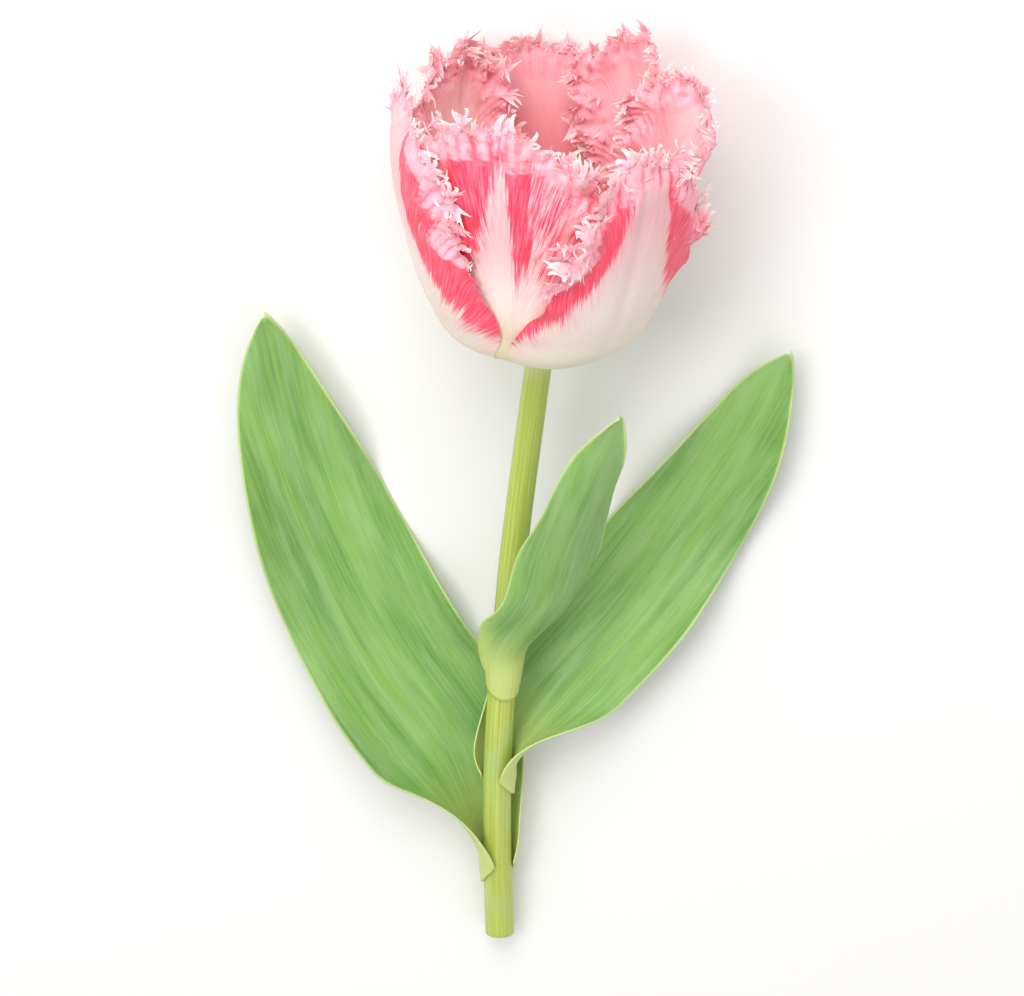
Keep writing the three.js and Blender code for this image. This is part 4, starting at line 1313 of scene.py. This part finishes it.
class TulipBloomSettings(bpy.types.PropertyGroup):
    fringe: bpy.props.FloatProperty(
        name="Fringe", description="Size of the teeth, as a share of the usual", default=1.0,
        min=0.1, max=2, subtype="FACTOR",
    )
    red: colour_property("Red", "Flanks of the tepals", 243, 60, 90)
    pink: colour_property("Pink", "Upper part and the start of the red", 248, 128, 150)
    light: colour_property("Light pink", "Creased rims", 252, 192, 202)
    fringe_colour: colour_property("Fringe tips", "Ends of the teeth", 255, 236, 226)
    white: colour_property("White", "Flame along the middle", 236, 217, 211)
    cream: colour_property("Cream", "Foot of the bloom", 234, 224, 204)
    salmon: colour_property("Salmon", "Inner faces", 244, 148, 158)


class TulipGreenSettings(bpy.types.PropertyGroup):
    leaf_thickness: bpy.props.FloatProperty(
        name="Leaf thickness", description="Thickness in the middle of a leaf", default=LEAF_THICKNESS * MM,
        min=0, unit="LENGTH",
    )
    leaf: colour_property("Leaf", "Leaf colour", 126, 172, 78)
    stem: colour_property("Stem", "Stem colour", 168, 182, 72)
    pollen: colour_property("Pollen", "Anthers", 236, 206, 110)


class TulipStageSettings(bpy.types.PropertyGroup):
    floor: colour_property("Floor", "Surface that the flower lies on", 233, 232, 230)
    lens: bpy.props.FloatProperty(
        name="Lens", description="Focal length of the camera", default=100, min=20, max=300, unit="CAMERA",
    )


def colours_of(settings, shades):
    """Colours for the materials by name: those that a user can change, and the fixed ones."""
    colours = {name: linear(*shade) for name, shade in shades.items()}
    for name in settings.__annotations__:
        value = getattr(settings, name)
        if not isinstance(value, float):
            colours[name] = tuple(value)
    return colours


# ---- operators ----

class TULIP_OT_bloom(bpy.types.Operator):
    """Makes the seven tepals with their fringes"""

    bl_idname = "tulip.bloom"
    bl_label = "Bloom"

    def execute(self, context):
        settings = context.scene.tulip_bloom
        material = petal_material(colours_of(settings, PETAL_SHADES))
        teeth = teeth_collection()
        tree = fringe_tree()
        for name, tepal in TEPALS.items():
            base = tepal_base(name, SimpleNamespace(**{**USUAL, **tepal}))
            mesh = plain_mesh(
                base, tree, Teeth=teeth, Size=settings.fringe, Seed=tepal["seed"], Material=material,
            )
            for spare in ("outwards", "front", "size", "kind", "root"):
                mesh.attributes.remove(mesh.attributes[spare])
            finish_piece("fringed_" + name, mesh, material, "tepal", name)
        remove_collection(teeth)
        return {"FINISHED"}


class TULIP_OT_stem(bpy.types.Operator):
    """Makes the stem with its receptacle and slanted cut"""

    bl_idname = "tulip.stem"
    bl_label = "Stem"

    def execute(self, context):
        material = stem_material(colours_of(context.scene.tulip_green, GREEN_SHADES))
        finish_piece("round_stem", build_stem(material), material, "stem", "stem")
        return {"FINISHED"}


class TULIP_OT_leaves(bpy.types.Operator):
    """Makes the three leaves that clasp the stem"""

    bl_idname = "tulip.leaves"
    bl_label = "Leaves"

    def execute(self, context):
        settings = context.scene.tulip_green
        material = leaf_material(colours_of(settings, GREEN_SHADES))
        for name, leaf in LEAVES.items():
            mesh = build_leaf(name, SimpleNamespace(**leaf), settings.leaf_thickness / MM)
            finish_piece("veined_" + name, mesh, material, "leaf", name)
        return {"FINISHED"}


class TULIP_OT_heart(bpy.types.Operator):
    """Makes the pistil and the six stamens"""

    bl_idname = "tulip.heart"
    bl_label = "Pistil and stamens"

    def execute(self, context):
        colours = colours_of(context.scene.tulip_green, GREEN_SHADES)
        finish_piece("lobed_pistil", build_pistil(), pistil_material(colours), "pistil", "pistil")
        material = stamen_material(colours)
        names = [f"stamen_{number}" for number in range(1, STAMEN_COUNT + 1)]
        finish_piece("stamens", build_stamens(material), material, "stamen", *names)
        return {"FINISHED"}


class TULIP_OT_stage(bpy.types.Operator):
    """Makes the pale surface, the soft studio light and the camera"""

    bl_idname = "tulip.stage"
    bl_label = "Stage"

    def execute(self, context):
        scene = context.scene
        settings = scene.tulip_stage
        corners = [(x * FLOOR_HALF, y * FLOOR_HALF, 0) for x, y in ((-1, -1), (1, -1), (1, 1), (-1, 1))]
        mesh = new_mesh("floor", corners, [[0, 1, 2, 3]])
        new_piece("floor", mesh, floor_material(tuple(settings.floor)))
        for name, (place, size, power) in LIGHTS.items():
            self.light(name, place, size, power)
        scene.world = bpy.data.worlds.new("studio")
        scene.world.use_nodes = True
        background = scene.world.node_tree.nodes["Background"].inputs
        background["Color"].default_value = (1, 1, 1, 1)
        background["Strength"].default_value = WORLD_LIGHT
        scene.view_settings.view_transform = "Standard"
        scene.camera = self.camera(settings.lens)
        return {"FINISHED"}

    def light(self, name, place, size, power):
        lamp = bpy.data.lights.new(name, "AREA")
        lamp.shape = "DISK"
        lamp.size = size
        lamp.energy = power
        item = new_object(name, lamp)
        item.location = place
        item.rotation_mode = "QUATERNION"
        item.rotation_quaternion = (Vector(LIT_SPOT) - Vector(place)).to_track_quat("-Z", "Y")

    def camera(self, lens):
        back = FRONT * math.cos(CAMERA_TILT) + AXIS * math.sin(CAMERA_TILT)
        up = AXIS * math.cos(CAMERA_TILT) - FRONT * math.sin(CAMERA_TILT)
        up = up * math.cos(CAMERA_ROLL) - RIGHT * math.sin(CAMERA_ROLL)
        place = in_row(np.array(CAMERA_OVER)) + back * CAMERA_DISTANCE
        back = unit(place - CAMERA_TARGET)
        side = unit(np.cross(up, back))
        turn = np.stack([side, np.cross(back, side), back], 1)
        camera = new_object("camera", bpy.data.cameras.new("camera"))
        camera.data.lens = lens
        camera.data.clip_end = 20
        camera.matrix_world = Matrix([(*row, p) for row, p in zip(turn, place)] + [(0, 0, 0, 1)])
        return camera


class TULIP_PT_panel(bpy.types.Panel):
    """Lists the steps of the tulip"""

    bl_idname = "TULIP_PT_panel"
    bl_label = "Fringed Tulip"
    bl_space_type = "VIEW_3D"
    bl_region_type = "UI"
    bl_category = "Tulip"

    def draw(self, context):
        for group in SETTINGS:
            settings = getattr(context.scene, group)
            for name in settings.__annotations__:
                self.layout.prop(settings, name)
        for step in STEPS:
            self.layout.operator(step.bl_idname)


SETTINGS = {
    "tulip_bloom": TulipBloomSettings, "tulip_green": TulipGreenSettings, "tulip_stage": TulipStageSettings,
}
STEPS = (TULIP_OT_bloom, TULIP_OT_stem, TULIP_OT_leaves, TULIP_OT_heart, TULIP_OT_stage)
CLASSES = (*SETTINGS.values(), *STEPS, TULIP_PT_panel)


def register():
    for item in CLASSES:
        bpy.utils.register_class(item)
    for name, group in SETTINGS.items():
        setattr(bpy.types.Scene, name, bpy.props.PointerProperty(type=group))


def unregister():
    for name in SETTINGS:
        delattr(bpy.types.Scene, name)
    for item in reversed(CLASSES):
        bpy.utils.unregister_class(item)


def main():
    register()
    bpy.ops.tulip.bloom()
    bpy.ops.tulip.stem()
    bpy.ops.tulip.leaves()
    bpy.ops.tulip.heart()
    bpy.ops.tulip.stage()


if __name__ == "__main__":
    main()
